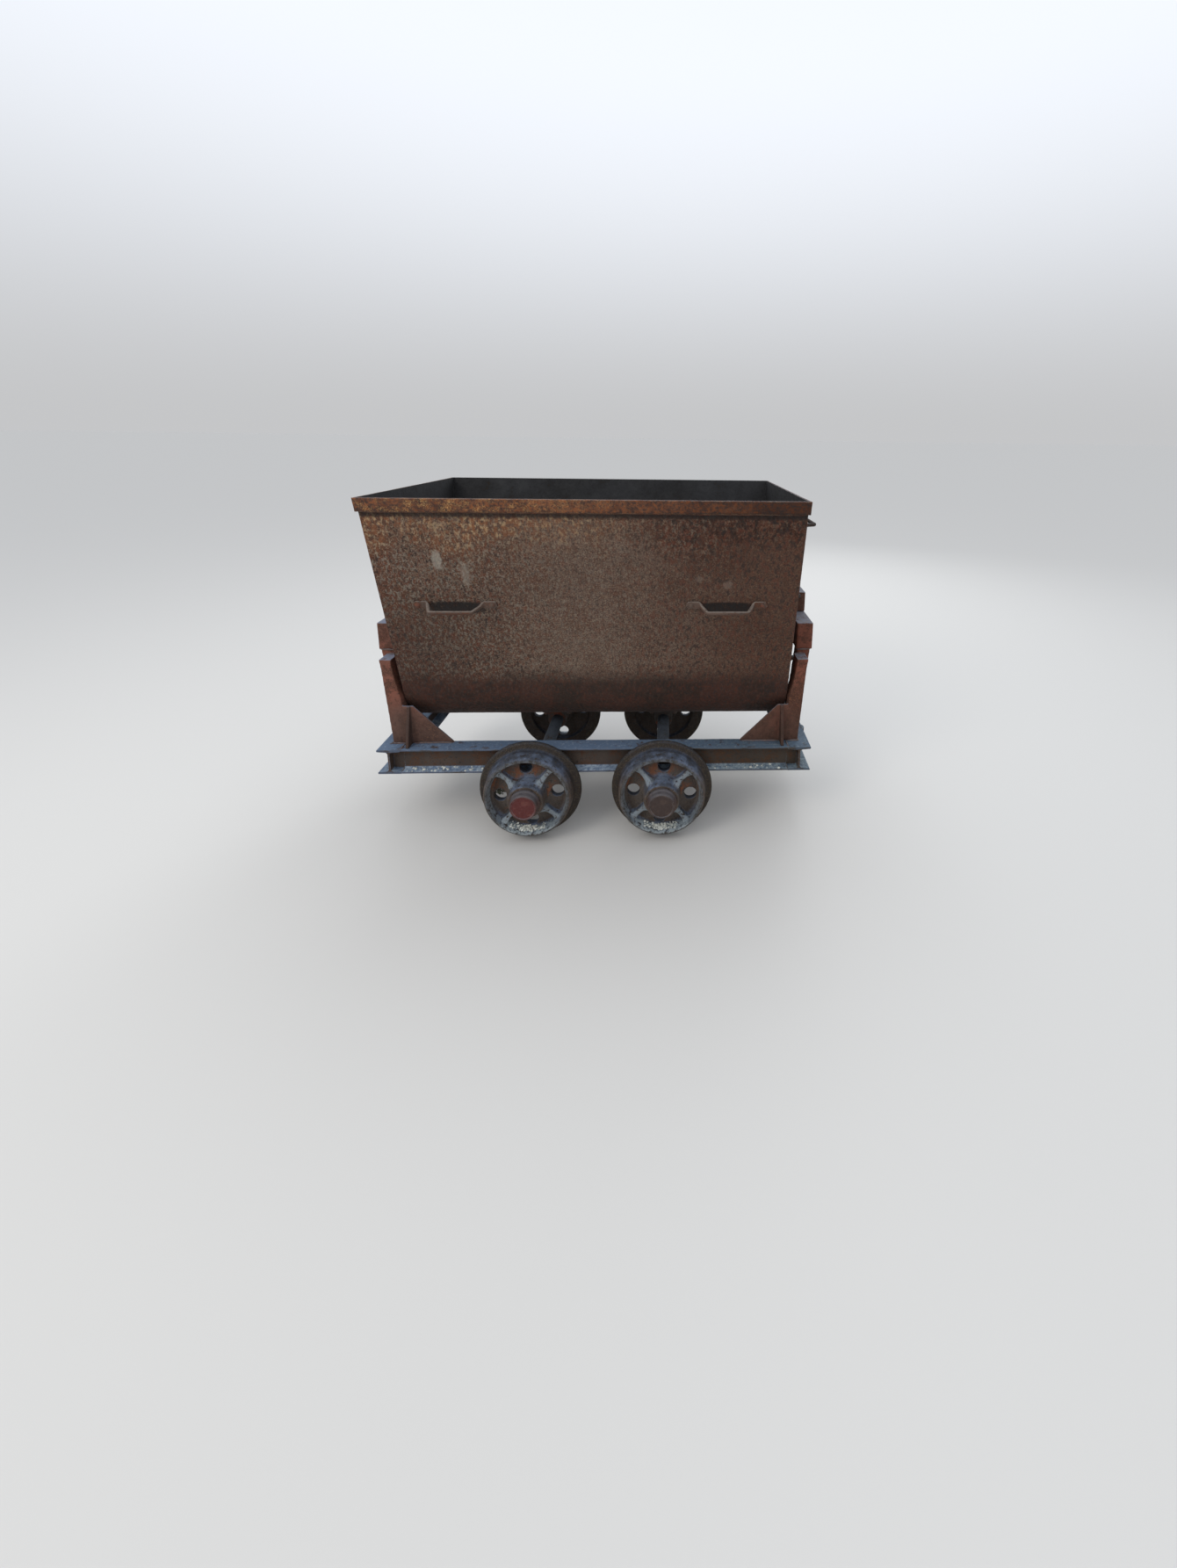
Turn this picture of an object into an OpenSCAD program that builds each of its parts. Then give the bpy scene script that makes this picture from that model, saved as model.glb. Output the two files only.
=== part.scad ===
// Side-tipping mine cart: a riveted sheet tub on a rolled-beam frame with four flanged wheels.
// +X runs along the track, +Y towards the tipping side, +Z up.
// The origin is on the ground under the middle of the cart.

/* [Wheels] */
// Distance between the two axle centres
wheelbase = 450; // [430:5:470]
// Tread radius beside the flange
tread_r = 150; // [144:1:156]
// Height of the flange above the tread
flange_h = 24; // [18:1:28]
// Distance from the middle of the track to the outer face of each flange
flange_y = 290; // [288:1:294]
// Width of the tread
tread_w = 56; // [50:1:60]
// Diameter of the fixed axles
axle_d = 48; // [40:1:50]
// Radial running clearance between an axle and its bush
running_gap = 0.05; // [0.02:0.01:0.1]
// Radius of the circle that the lightening holes stand on
hole_circle_r = 97; // [94:1:100]
// Diameter of the lightening holes
hole_d = 42; // [30:1:46]

/* [Frame] */
// Overall length of the frame over its end beams
frame_l = 1490; // [1460:5:1500]
// Overall width of the frame over the side beams
frame_w = 522; // [516:1:524]
// Height of the rolled beams
beam_h = 89; // [80:1:92]
// Flange width of the side beams
beam_w = 61; // [56:1:64]
// Flange width of the end beams
end_beam_w = 80; // [70:1:84]
// Distance from the axle centre up to the underside of the beams
axle_drop = 44.5; // [42:0.5:50]

/* [Stands] */
// Height of the flat top of each stand above the ground
stand_top = 724; // [715:1:740]
// Height of the stand's top rail
rail_h = 96; // [80:1:104]
// Half width of the stand over the front faces of its posts
stand_y = 155; // [150:1:158]
// Height of the top of the side knees
knee_top = 614; // [600:1:620]

/* [Tub] */
// Length of the tub over its end plates
tub_l = 1326; // [1310:2:1330]
// Width of the tub at the rim, over the side sheets
tub_w = 778; // [760:2:780]
// Height of the rim above the ground
rim_z = 1182; // [1150:2:1200]
// Lean of the long sides from upright, in degrees
side_lean = 15.2; // [14:0.1:16]
// Outer radius of the rounded bottom
bottom_r = 208.5; // [200:0.5:212]
// Thickness of the tub sheets
sheet_t = 5; // [4:0.5:6]
// Height of the flat band round the rim
band_h = 43; // [35:1:50]
// Thickness of the flat band round the rim
band_t = 7; // [5:1:8]

/* [Handles] */
// Height of the grab handles above the ground
handle_z = 834; // [800:2:860]
// Distance from the middle of the cart to each grab handle
handle_x = 432; // [400:2:450]
// Length of a grab handle over its feet
handle_l = 262; // [240:2:280]
// How far the grip stands off the sheet, to its middle
handle_out = 52; // [46:1:58]
// Diameter of the handle bars
bar_d = 13; // [12:1:16]
// Height of the push bar above the ground
push_z = 1092; // [1070:2:1100]
// Length of the push bar over its feet
push_l = 640; // [560:5:660]

/* [Hidden] */
$fn = 64;

// Wheel and axle heights follow from the wheel's outer radius
flange_r = tread_r + flange_h;
axle_z = flange_r;
axle_r = axle_d / 2;
axle_x = wheelbase / 2;
tread_end_y = flange_y + tread_w;
hub_back_y = flange_y - 22;
hub_front_y = tread_end_y + 20;
bush_r = axle_r + 8;
press_gap = 0.02;
cap_end_y = hub_front_y + 29;
hole_turn = -4.5;

// Frame levels
beam_z = axle_z + axle_drop;
beam_top = beam_z + beam_h;
beam_y = (frame_w - beam_w) / 2;
beam_flange_t = 9;
beam_web_t = 7;
end_beam_x = (frame_l - end_beam_w) / 2;
end_inner_x = frame_l / 2 - end_beam_w;
eye_t = 18;
eye_r = 22;
eye_bore_r = 12.5;
eye_x = frame_l / 2 + 15;

// Stand parts
post_t = 48;
rail_in_x = 700;
rail_out_x = 757;
rail_far_y = stand_y + 37;
post_top = stand_top - rail_h;
knee_y = 214;
gusset_y = 214;
gusset_t = 8;
gusset_top = 445;
gusset_tip_x = 500;
knee_in_x = 668;

// Tipping hinge, along X at the far end of the stand rails
hinge_y = stand_y;
hinge_z = stand_top + 35;
hinge_pin_r = 11;
hinge_gap = 0.05;
rest_gap = 0.3;
eye_tongue_r = 30;
tongue_x = 711.5;
tongue_t = 30;
lug_t = 9;
lug_gap = 0.5;

// Tub section: straight sides that meet a round bottom
lean = tan(side_lean);
bottom_z = rim_z - (tub_w / 2 * cos(side_lean) - bottom_r) / sin(side_lean);
tangent_y = bottom_r * cos(side_lean);
tangent_z = bottom_z - bottom_r * sin(side_lean);
tub_x = tub_l / 2;
sheet_run = sheet_t / cos(side_lean);
weld_gap = 0.2;

// Half width of the tub's outer surface at a height on its straight sides
function half_w(z) = tub_w / 2 - (rim_z - z) * lean;

// Extrude a Y-Z outline along X from x0 to x1
module along_x(x0, x1) translate([x0, 0, 0]) rotate([90, 0, 90]) linear_extrude(x1 - x0) children();

// Extrude an X-Z outline along Y from y0 to y1
module along_y(y0, y1) translate([0, y1, 0]) rotate([90, 0, 0]) linear_extrude(y1 - y0) children();

// A box from its low corner to its high corner
module block(low, high) translate(low) cube(high - low);

// A solid cylinder along Y
module rod_y(x, z, r, y0, y1) translate([x, y1, z]) rotate([90, 0, 0]) cylinder(r = r, h = y1 - y0);

// A solid cylinder along X
module rod_x(y, z, r, x0, x1) translate([x0, y, z]) rotate([0, 90, 0]) cylinder(r = r, h = x1 - x0);

// Sides of the cart: the near side is -Y, the left end is -X
module on_side(side) mirror([0, side == "far" ? 1 : 0, 0]) children();
module on_end(end) mirror([end == "left" ? 1 : 0, 0, 0]) children();

// ---- Frame ----

// I-beam outline centred on x = 0, standing on y = 0
module i_outline(w) {
    translate([-w / 2, 0]) square([w, beam_flange_t]);
    translate([-w / 2, beam_h - beam_flange_t]) square([w, beam_flange_t]);
    translate([-beam_web_t / 2, 0]) square([beam_web_t, beam_h]);
}

// Side beam: its flanges stop at the end beams and its web runs on to their webs
module side_beam() {
    web_end = end_beam_x - beam_web_t / 2;
    difference() {
        along_x(-end_inner_x, end_inner_x) translate([-beam_y, beam_z]) i_outline(beam_w);
        for (sx = [-1, 1]) for (bx = [-1, 1]) for (by = [-1, 1])
            translate([sx * axle_x + bx * box_bolt_x, -beam_y + by * box_bolt_y, beam_z - 1])
                cylinder(r = box_bolt_r + 0.6, h = beam_flange_t + 2, $fn = 24);
    }
    for (sx = [-1, 1])
        block([min(sx * end_inner_x, sx * web_end), -beam_y - beam_web_t / 2, beam_z + beam_flange_t],
              [max(sx * end_inner_x, sx * web_end), -beam_y + beam_web_t / 2, beam_top - beam_flange_t]);
}
module beam_near() color("#5f6266") side_beam();
module beam_far() color("#5f6266") mirror([0, 1, 0]) side_beam();

module end_beam(end) color("#63676c") on_end(end)
    along_y(-frame_w / 2, frame_w / 2) translate([end_beam_x, beam_z]) i_outline(end_beam_w);
module end_beam_left() end_beam("left");
module end_beam_right() end_beam("right");

// Flat eye for the coupling pin, welded to the end beam's web above its lower flange
module coupling_eye(end) color("#54504c") on_end(end)
    translate([0, 0, beam_z + beam_flange_t]) difference() {
        union() {
            translate([end_beam_x + beam_web_t / 2, -eye_r, 0])
                cube([eye_x - end_beam_x - beam_web_t / 2, 2 * eye_r, eye_t]);
            translate([eye_x, 0, 0]) cylinder(r = eye_r, h = eye_t);
        }
        translate([eye_x, 0, -1]) cylinder(r = eye_bore_r, h = eye_t + 2);
    }
module coupling_eye_left() coupling_eye("left");
module coupling_eye_right() coupling_eye("right");

// ---- End stands ----

// Post that leans outward from the end beam to the rail
module stand_post(side, end) color("#6d463c") on_end(end) on_side(side)
    along_y(-stand_y, -stand_y + post_t)
        polygon([[672, beam_top], [715, beam_top], [750, post_top], [703, post_top]]);
module stand_post_near_left() stand_post("near", "left");
module stand_post_far_left() stand_post("far", "left");
module stand_post_near_right() stand_post("near", "right");
module stand_post_far_right() stand_post("far", "right");

// Flat-topped rail across the posts, longer on the far side to carry the hinge
module stand_rail(end) color("#74493e") on_end(end)
    block([rail_in_x, -stand_y, post_top], [rail_out_x, rail_far_y, stand_top]);
module stand_rail_left() stand_rail("left");
module stand_rail_right() stand_rail("right");

// Knee: a thick bar with a hollow inner edge, a sloping gusset plate beside it and a foot rib
module knee(side, end) color("#6a4439") on_end(end) on_side(side) {
    hollow = [[692, 600], [690.5, 585], [687.5, 560], [683.5, 535], [678.5, 510], [672.5, 487], [knee_in_x, 470]];
    along_y(-knee_y, -stand_y)
        polygon(concat([[knee_in_x, beam_top], [707, beam_top], [710, 350], [727, 580], [732, knee_top],
                        [692, knee_top]], hollow));
    along_y(-gusset_y, -gusset_y + gusset_t)
        polygon([[gusset_tip_x, beam_top], [knee_in_x + 4, beam_top], [knee_in_x + 4, gusset_top],
                 [632, gusset_top], [621, 434], [gusset_tip_x + 4, beam_top + 8]]);
    along_x(640, 650)
        polygon([[-254, beam_top], [-gusset_y + 2, beam_top], [-gusset_y + 2, gusset_top],
                 [-gusset_y - 5, gusset_top]]);
}
module knee_near_left() knee("near", "left");
module knee_far_left() knee("far", "left");
module knee_near_right() knee("near", "right");
module knee_far_right() knee("far", "right");

// Round stop on the near right post, just clear of the tub's end
stop_z = 592;
stop_y = -stand_y + 10;
stop_tip_x = 670;
stop_head_l = 14;
module post_stop() color("#8a8078") {
    difference() {
        rod_x(stop_y, stop_z, 9, stop_tip_x + stop_head_l, rail_in_x + 10);
        stand_post("near", "right");
    }
    rod_x(stop_y, stop_z, 14, stop_tip_x, stop_tip_x + stop_head_l);
}

// ---- Tipping hinge on the stands ----

// Two lugs either side of the hinge arm's tongue
module hinge_lugs(end) color("#5b4a42") on_end(end)
    for (x = [tongue_x - lug_gap - lug_t, tongue_x + tongue_t + lug_gap])
        along_x(x, x + lug_t) difference() {
            union() {
                translate([hinge_y, hinge_z]) circle(r = eye_tongue_r - 1);
                translate([hinge_y - 36, stand_top]) square([72, 15]);
                polygon([[hinge_y - 36, stand_top + 15], [hinge_y + 36, stand_top + 15],
                         [hinge_y + 27, hinge_z + 8], [hinge_y - 27, hinge_z + 8]]);
            }
            translate([hinge_y, hinge_z]) circle(r = hinge_pin_r + hinge_gap);
        }
module hinge_lugs_left() hinge_lugs("left");
module hinge_lugs_right() hinge_lugs("right");

pin_in_x = tongue_x - lug_gap - lug_t - 10;
pin_head_x = tongue_x + tongue_t + lug_gap + lug_t + 0.2;
cotter_x = pin_in_x + 5;

// Hinge pin with a flat head outside and a cross hole inside
module hinge_pin(end) color("#4c4744") on_end(end) difference() {
    union() {
        rod_x(hinge_y, hinge_z, hinge_pin_r, pin_in_x, pin_head_x);
        rod_x(hinge_y, hinge_z, hinge_pin_r + 6, pin_head_x, pin_head_x + 6);
    }
    translate([cotter_x, hinge_y, hinge_z - 20]) cylinder(r = 2.2, h = 40, $fn = 24);
}
module hinge_pin_left() hinge_pin("left");
module hinge_pin_right() hinge_pin("right");

// Split pins that hold the hinge pins in
module hinge_cotters() color("#8a8580") for (end = ["left", "right"]) on_end(end)
    translate([cotter_x, hinge_y, hinge_z]) {
        translate([0, 0, -18]) cylinder(r = 2, h = 32, $fn = 24);
        translate([0, 0, 16]) rotate([0, 90, 0]) rotate_extrude($fn = 32) translate([4, 0]) circle(r = 1.6, $fn = 16);
    }

// ---- Axles ----

box_bolt_x = 48;
box_bolt_y = 18;
box_bolt_r = 6;
box_half_y = 28;
box_foot_t = 12;

// Cast box that clamps an axle under a side beam
module axle_box(side, end) color("#554b45") on_end(end) on_side(side) translate([axle_x, 0, 0]) difference() {
    union() {
        rod_y(0, axle_z, 38, -beam_y - box_half_y, -beam_y + box_half_y);
        block([-38, -beam_y - box_half_y, axle_z], [38, -beam_y + box_half_y, beam_z]);
        block([-62, -beam_y - box_half_y, beam_z - box_foot_t], [62, -beam_y + box_half_y, beam_z]);
    }
    rod_y(0, axle_z, axle_r + press_gap, -beam_y - 40, -beam_y + 40);
    for (bx = [-1, 1]) for (by = [-1, 1])
        translate([bx * box_bolt_x, -beam_y + by * box_bolt_y, beam_z - box_foot_t - 1])
            cylinder(r = box_bolt_r + 0.6, h = box_foot_t + 2, $fn = 24);
}
module axle_box_near_left() axle_box("near", "left");
module axle_box_far_left() axle_box("far", "left");
module axle_box_near_right() axle_box("near", "right");
module axle_box_far_right() axle_box("far", "right");

// One bolt with its head under the box foot, and its nut on the beam flange
module box_bolt() {
    head_h = 8;
    nut_h = 10;
    grip = box_foot_t + beam_flange_t;
    translate([0, 0, -box_foot_t - head_h]) cylinder(r = 10.4, h = head_h, $fn = 6);
    translate([0, 0, -box_foot_t]) cylinder(r = box_bolt_r, h = grip + nut_h + 4, $fn = 24);
    translate([0, 0, beam_flange_t]) difference() {
        cylinder(r = 10.4, h = nut_h, $fn = 6);
        translate([0, 0, -1]) cylinder(r = box_bolt_r + 0.05, h = nut_h + 2, $fn = 24);
    }
}
module axle_box_bolts() color("#6b5a50")
    for (end = ["left", "right"]) for (side = ["near", "far"]) on_end(end) on_side(side)
        for (bx = [-1, 1]) for (by = [-1, 1])
            translate([axle_x + bx * box_bolt_x, -beam_y + by * box_bolt_y, beam_z]) box_bolt();

// Fixed axle with a threaded spigot at each end
module axle(end) color("#77797c") on_end(end) {
    rod_y(axle_x, axle_z, axle_r, -hub_front_y - 2, hub_front_y + 2);
    rod_y(axle_x, axle_z, 12, -hub_front_y - 20, hub_front_y + 20);
}
module axle_left() axle("left");
module axle_right() axle("right");

module each_journal() for (end = ["left", "right"]) for (side = ["near", "far"])
    on_end(end) on_side(side) children();

// Thrust collars between the axle boxes and the wheels
module axle_collars() color("#6f6a66") each_journal() difference() {
    rod_y(axle_x, axle_z, 36, -hub_back_y + 0.7, -beam_y - box_half_y - 0.2);
    rod_y(axle_x, axle_z, axle_r + press_gap, -hub_back_y - 10, -beam_y);
}

// Washers that keep the wheels on
module axle_washers() color("#8c8880") each_journal() difference() {
    rod_y(axle_x, axle_z, 34, -hub_front_y - 7, -hub_front_y - 2);
    rod_y(axle_x, axle_z, 12 + press_gap, -hub_front_y - 20, -hub_front_y + 5);
}

// Nuts on the axle ends
module axle_nuts() color("#7d746c") each_journal() translate([axle_x, -hub_front_y - 7, axle_z])
    rotate([90, 0, 0]) difference() {
        cylinder(r = 21, h = 12, $fn = 6);
        translate([0, 0, -1]) cylinder(r = 12 + press_gap, h = 14);
    }

// ---- Wheels ----

// Wheel section: radius against distance from the middle of the track
module wheel_section() {
    polygon([
        [bush_r + press_gap, hub_back_y], [52, hub_back_y], [55, 290],
        [122, 287], [126, 272], [flange_r - 4, 272], [flange_r, 276],
        [flange_r, 283], [flange_r - 4, flange_y - 2], [tread_r + 4, flange_y + 2], [tread_r, flange_y + 6],
        [tread_r - 6, tread_end_y - 4], [tread_r - 9, tread_end_y], [tread_r - 19, tread_end_y],
        [124, 312], [120, 307], [72, 310], [64, 316], [60, hub_front_y - 5], [56, hub_front_y],
        [bush_r + press_gap, hub_front_y]
    ]);
}

// Stiffening rib from the hub to the rim
module wheel_rib() rotate([90, 0, 0]) translate([0, 0, -7]) linear_extrude(14)
    polygon([[58, 300], [127, 300], [129, 326], [90, 322], [66, 342], [58, 350]]);

module wheel(side, end) color("#59524e") on_end(end) on_side(side)
    translate([axle_x, 0, axle_z]) rotate([90, 0, 0]) rotate([0, 0, hole_turn]) difference() {
        union() {
            rotate_extrude($fn = 96) wheel_section();
            for (turn = [45:90:315]) rotate([0, 0, turn]) wheel_rib();
        }
        for (turn = [0:90:270]) rotate([0, 0, turn])
            translate([hole_circle_r, 0, 280]) cylinder(r = hole_d / 2, h = 40);
    }
module wheel_near_left() wheel("near", "left");
module wheel_far_left() wheel("far", "left");
module wheel_near_right() wheel("near", "right");
module wheel_far_right() wheel("far", "right");

// Bronze bush pressed into the hub
module bush(side, end) color("#8c6b3a") on_end(end) on_side(side) difference() {
    rod_y(axle_x, axle_z, bush_r, -hub_front_y, -hub_back_y);
    rod_y(axle_x, axle_z, axle_r + running_gap, -hub_front_y - 1, -hub_back_y + 1);
}
module bush_near_left() bush("near", "left");
module bush_far_left() bush("far", "left");
module bush_near_right() bush("near", "right");
module bush_far_right() bush("far", "right");

// Stepped cap over the axle end
module hub_cap(side, end) color("#6f3a38") on_end(end) on_side(side)
    translate([axle_x, 0, axle_z]) rotate([90, 0, 0]) rotate_extrude()
        polygon([
            [39, hub_front_y], [50, hub_front_y], [50, hub_front_y + 8], [47, hub_front_y + 11],
            [46, cap_end_y - 5], [43, cap_end_y], [0, cap_end_y], [0, cap_end_y - 5], [39, cap_end_y - 5]
        ]);
module hub_cap_near_left() hub_cap("near", "left");
module hub_cap_far_left() hub_cap("far", "left");
module hub_cap_near_right() hub_cap("near", "right");
module hub_cap_far_right() hub_cap("far", "right");

// ---- Tub ----

module side_sheet() along_x(-tub_x, tub_x)
    polygon([[-tangent_y, tangent_z], [-half_w(rim_z), rim_z], [-half_w(rim_z) + sheet_run, rim_z],
             [-tangent_y + sheet_t * cos(side_lean), tangent_z + sheet_t * sin(side_lean)]]);
module side_sheet_near() color("#6b5d54") side_sheet();
module side_sheet_far() color("#6b5d54") mirror([0, 1, 0]) side_sheet();

// Region below the lines from the bottom's centre out through its edges
module bottom_wedge(r) {
    far = 2 * r;
    polygon([[0, bottom_z], [-far * cos(side_lean), bottom_z - far * sin(side_lean)],
             [-far, bottom_z - far], [far, bottom_z - far],
             [far * cos(side_lean), bottom_z - far * sin(side_lean)]]);
}
module bottom_sheet() color("#4d3a33") along_x(-tub_x, tub_x) intersection() {
    translate([0, bottom_z]) difference() {
        circle(r = bottom_r, $fn = 128);
        circle(r = bottom_r - sheet_t, $fn = 128);
    }
    bottom_wedge(bottom_r);
}

// End plate between the sheets, with a round lower edge
module end_plate(end) color("#655850") on_end(end) along_x(tub_x - sheet_t, tub_x) {
    inner_r = bottom_r - sheet_t - weld_gap;
    inner_y = inner_r * cos(side_lean);
    inner_z = bottom_z - inner_r * sin(side_lean);
    top_y = half_w(rim_z) - sheet_run - weld_gap / cos(side_lean);
    polygon([[-top_y, rim_z], [-inner_y, inner_z], [0, inner_z - 1], [inner_y, inner_z], [top_y, rim_z]]);
    intersection() {
        translate([0, bottom_z]) circle(r = inner_r, $fn = 128);
        translate([-inner_y, 0]) square([2 * inner_y, inner_z]);
    }
}
module end_plate_left() end_plate("left");
module end_plate_right() end_plate("right");

// Flat band round the rim: the long bands cover the ends of the short ones
module long_band() {
    run = band_t / cos(side_lean);
    low = rim_z - band_h;
    along_x(-tub_x - band_t, tub_x + band_t)
        polygon([[-half_w(low), low], [-half_w(rim_z), rim_z], [-half_w(rim_z) - run, rim_z], [-half_w(low) - run, low]]);
}
module rim_band_near() color("#80573f") long_band();
module rim_band_far() color("#80573f") mirror([0, 1, 0]) long_band();
module short_band(end) color("#80573f") on_end(end) along_x(tub_x, tub_x + band_t) {
    low = rim_z - band_h;
    polygon([[-half_w(low), low], [half_w(low), low], [half_w(rim_z), rim_z], [-half_w(rim_z), rim_z]]);
}
module rim_band_left() short_band("left");
module rim_band_right() short_band("right");

// ---- Hinge arms on the tub ----

arm_front_y = -15;
arm_wide_y = 92;
arm_top = stand_top + 75;
arm_low = stand_top + rest_gap;
arm_plate_t = 10;
arm_plate_y = [-62, 118];
arm_plate_z = [arm_low, arm_top + 40];
arm_bolt_y = [-45, 100];
arm_bolt_z = [arm_top + 22];

// Heavy arm on each end plate: it rests on the stand rail and ends in the hinge eye
module hinge_arm(end) color("#5f4338") on_end(end) difference() {
    union() {
        block([tub_x, arm_plate_y[0], arm_plate_z[0]], [tub_x + arm_plate_t, arm_plate_y[1], arm_plate_z[1]]);
        block([tub_x, arm_front_y, arm_low], [rail_out_x, arm_wide_y, arm_top]);
        block([tongue_x, arm_wide_y - 10, arm_low + 3], [tongue_x + tongue_t, hinge_y, hinge_z + eye_tongue_r]);
        rod_x(hinge_y, hinge_z, eye_tongue_r, tongue_x, tongue_x + tongue_t);
    }
    rod_x(hinge_y, hinge_z, hinge_pin_r + hinge_gap, tongue_x - 30, tongue_x + tongue_t + 30);
    for (y = arm_bolt_y) for (z = arm_bolt_z) rod_x(y, z, 7, tub_x - 1, tub_x + arm_plate_t + 1);
}
module hinge_arm_left() hinge_arm("left");
module hinge_arm_right() hinge_arm("right");

// Bolts that fix the arm plates to the end plates, and a grease screw on each arm's near face
module arm_bolts() color("#6b5a50") for (end = ["left", "right"]) on_end(end) {
    for (y = arm_bolt_y) for (z = arm_bolt_z) translate([tub_x + arm_plate_t, y, z]) rotate([0, 90, 0]) {
        cylinder(r = 12, h = 9, $fn = 6);
        translate([0, 0, -arm_plate_t]) cylinder(r = 6.6, h = arm_plate_t);
    }
    rod_y(730, arm_top - 14, 9, arm_front_y - 5, arm_front_y);
}

// ---- Handles ----

// Bent round bar on two flat feet: x along the bar, z away from the sheet it stands on
module bent_bar(l, out) {
    pad_l = 44;
    pad_w = 24;
    pad_t = 7;
    r = bar_d / 2;
    knuckle_r = r + 0.4;
    bend_x = l / 2 - 66;
    foot_x = l / 2 - pad_l + 4;
    run = foot_x - bend_x;
    rise = out - r;
    translate([-bend_x, 0, out]) rotate([0, 90, 0]) cylinder(r = r, h = 2 * bend_x, $fn = 96);
    for (s = [-1, 1]) {
        translate([s * (l / 2 - pad_l / 2), 0, pad_t / 2]) cube([pad_l, pad_w, pad_t], center = true);
        translate([s * bend_x, 0, out]) sphere(r = knuckle_r, $fn = 96);
        translate([s * foot_x, 0, r]) rotate([0, -s * atan2(run, rise), 0])
            cylinder(r = r, h = norm([run, rise]), $fn = 96);
    }
}

// Rivet head on a handle foot
module rivet() intersection() {
    sphere(r = 9);
    translate([-10, -10, 0]) cube([20, 20, 10]);
}

// Places on the near side sheet and on the right end plate
module on_near_sheet(x) translate([x, -half_w(handle_z), handle_z]) rotate([90 + side_lean, 0, 0]) children();
module on_right_end() translate([tub_x, 0, push_z]) rotate([90, 0, 90]) children();

module handle_left() color("#6e6259") on_near_sheet(-handle_x) bent_bar(handle_l, handle_out);
module handle_right() color("#6e6259") on_near_sheet(handle_x) bent_bar(handle_l, handle_out);
module push_bar() color("#4f443d") on_right_end() bent_bar(push_l, handle_out);
module handle_rivets() color("#6b5a50") {
    for (x = [-handle_x, handle_x]) for (s = [-1, 1])
        on_near_sheet(x) translate([s * (handle_l / 2 - 15), 0, 7]) rivet();
    for (s = [-1, 1]) on_right_end() translate([s * (push_l / 2 - 15), 0, 7]) rivet();
}

beam_near();
beam_far();
end_beam_left();
end_beam_right();
coupling_eye_left();
coupling_eye_right();
stand_post_near_left();
stand_post_far_left();
stand_post_near_right();
stand_post_far_right();
stand_rail_left();
stand_rail_right();
knee_near_left();
knee_far_left();
knee_near_right();
knee_far_right();
post_stop();
hinge_lugs_left();
hinge_lugs_right();
hinge_pin_left();
hinge_pin_right();
hinge_cotters();
axle_box_near_left();
axle_box_far_left();
axle_box_near_right();
axle_box_far_right();
axle_box_bolts();
axle_left();
axle_right();
axle_collars();
axle_washers();
axle_nuts();
wheel_near_left();
wheel_far_left();
wheel_near_right();
wheel_far_right();
bush_near_left();
bush_far_left();
bush_near_right();
bush_far_right();
hub_cap_near_left();
hub_cap_far_left();
hub_cap_near_right();
hub_cap_far_right();
side_sheet_near();
side_sheet_far();
bottom_sheet();
end_plate_left();
end_plate_right();
rim_band_near();
rim_band_far();
rim_band_left();
rim_band_right();
hinge_arm_left();
hinge_arm_right();
arm_bolts();
handle_left();
handle_right();
push_bar();
handle_rivets();
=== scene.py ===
"""A rusted side-tipping mine cart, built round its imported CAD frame. Metres, +X along the track, +Z up."""

import math
import random

import bmesh
import bpy
from mathutils import Matrix, Vector, noise


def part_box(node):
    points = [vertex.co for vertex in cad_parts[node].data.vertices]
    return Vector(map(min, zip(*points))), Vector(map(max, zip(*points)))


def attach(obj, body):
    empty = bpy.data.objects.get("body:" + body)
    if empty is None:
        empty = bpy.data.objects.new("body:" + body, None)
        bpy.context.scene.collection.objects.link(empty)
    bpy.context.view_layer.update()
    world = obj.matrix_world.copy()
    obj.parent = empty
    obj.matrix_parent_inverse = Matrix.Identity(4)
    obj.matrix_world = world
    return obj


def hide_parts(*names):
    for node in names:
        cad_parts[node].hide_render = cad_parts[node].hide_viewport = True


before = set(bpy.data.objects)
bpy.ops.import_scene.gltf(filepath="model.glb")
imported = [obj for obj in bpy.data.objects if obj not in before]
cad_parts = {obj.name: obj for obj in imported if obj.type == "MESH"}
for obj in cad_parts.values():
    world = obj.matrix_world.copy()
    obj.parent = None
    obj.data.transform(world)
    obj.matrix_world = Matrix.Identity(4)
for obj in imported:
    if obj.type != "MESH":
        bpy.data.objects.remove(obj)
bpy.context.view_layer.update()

MM = 0.001
ENDS = {"left": -1, "right": 1}
SIDES = {"near": -1, "far": 1}
SIDE_LEAN = math.radians(15.2)
SHEET = 5 * MM
BAND = 7 * MM
WELD_GAP = 0.2 * MM


# -------------------- measures taken from the frame


def middle(node):
    low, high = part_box(node)
    return (low + high) / 2


def reach(node, axis):
    """How near and how far a node lies from the cart's middle, along one axis (0, 1 or 2)."""
    return sorted(abs(corner[axis]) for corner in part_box(node))


rim_low, rim_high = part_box("rim_band_near")
side_low, side_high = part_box("side_sheet_near")
round_low, round_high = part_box("bottom_sheet")
beam_low, beam_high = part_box("beam_near")

RIM_Z = rim_high.z
BAND_LOW = rim_low.z
TUB_X = side_high.x
RIM_HALF = -side_low.y
BOTTOM_R = round_high.y / math.cos(SIDE_LEAN)
BOTTOM_Z = round_low.z + BOTTOM_R
TANGENT_Z = BOTTOM_Z - BOTTOM_R * math.sin(SIDE_LEAN)

HANDLE_X = middle("handle_right").x
HANDLE_Z = 834 * MM
PUSH_Z = middle("push_bar").z

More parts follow.
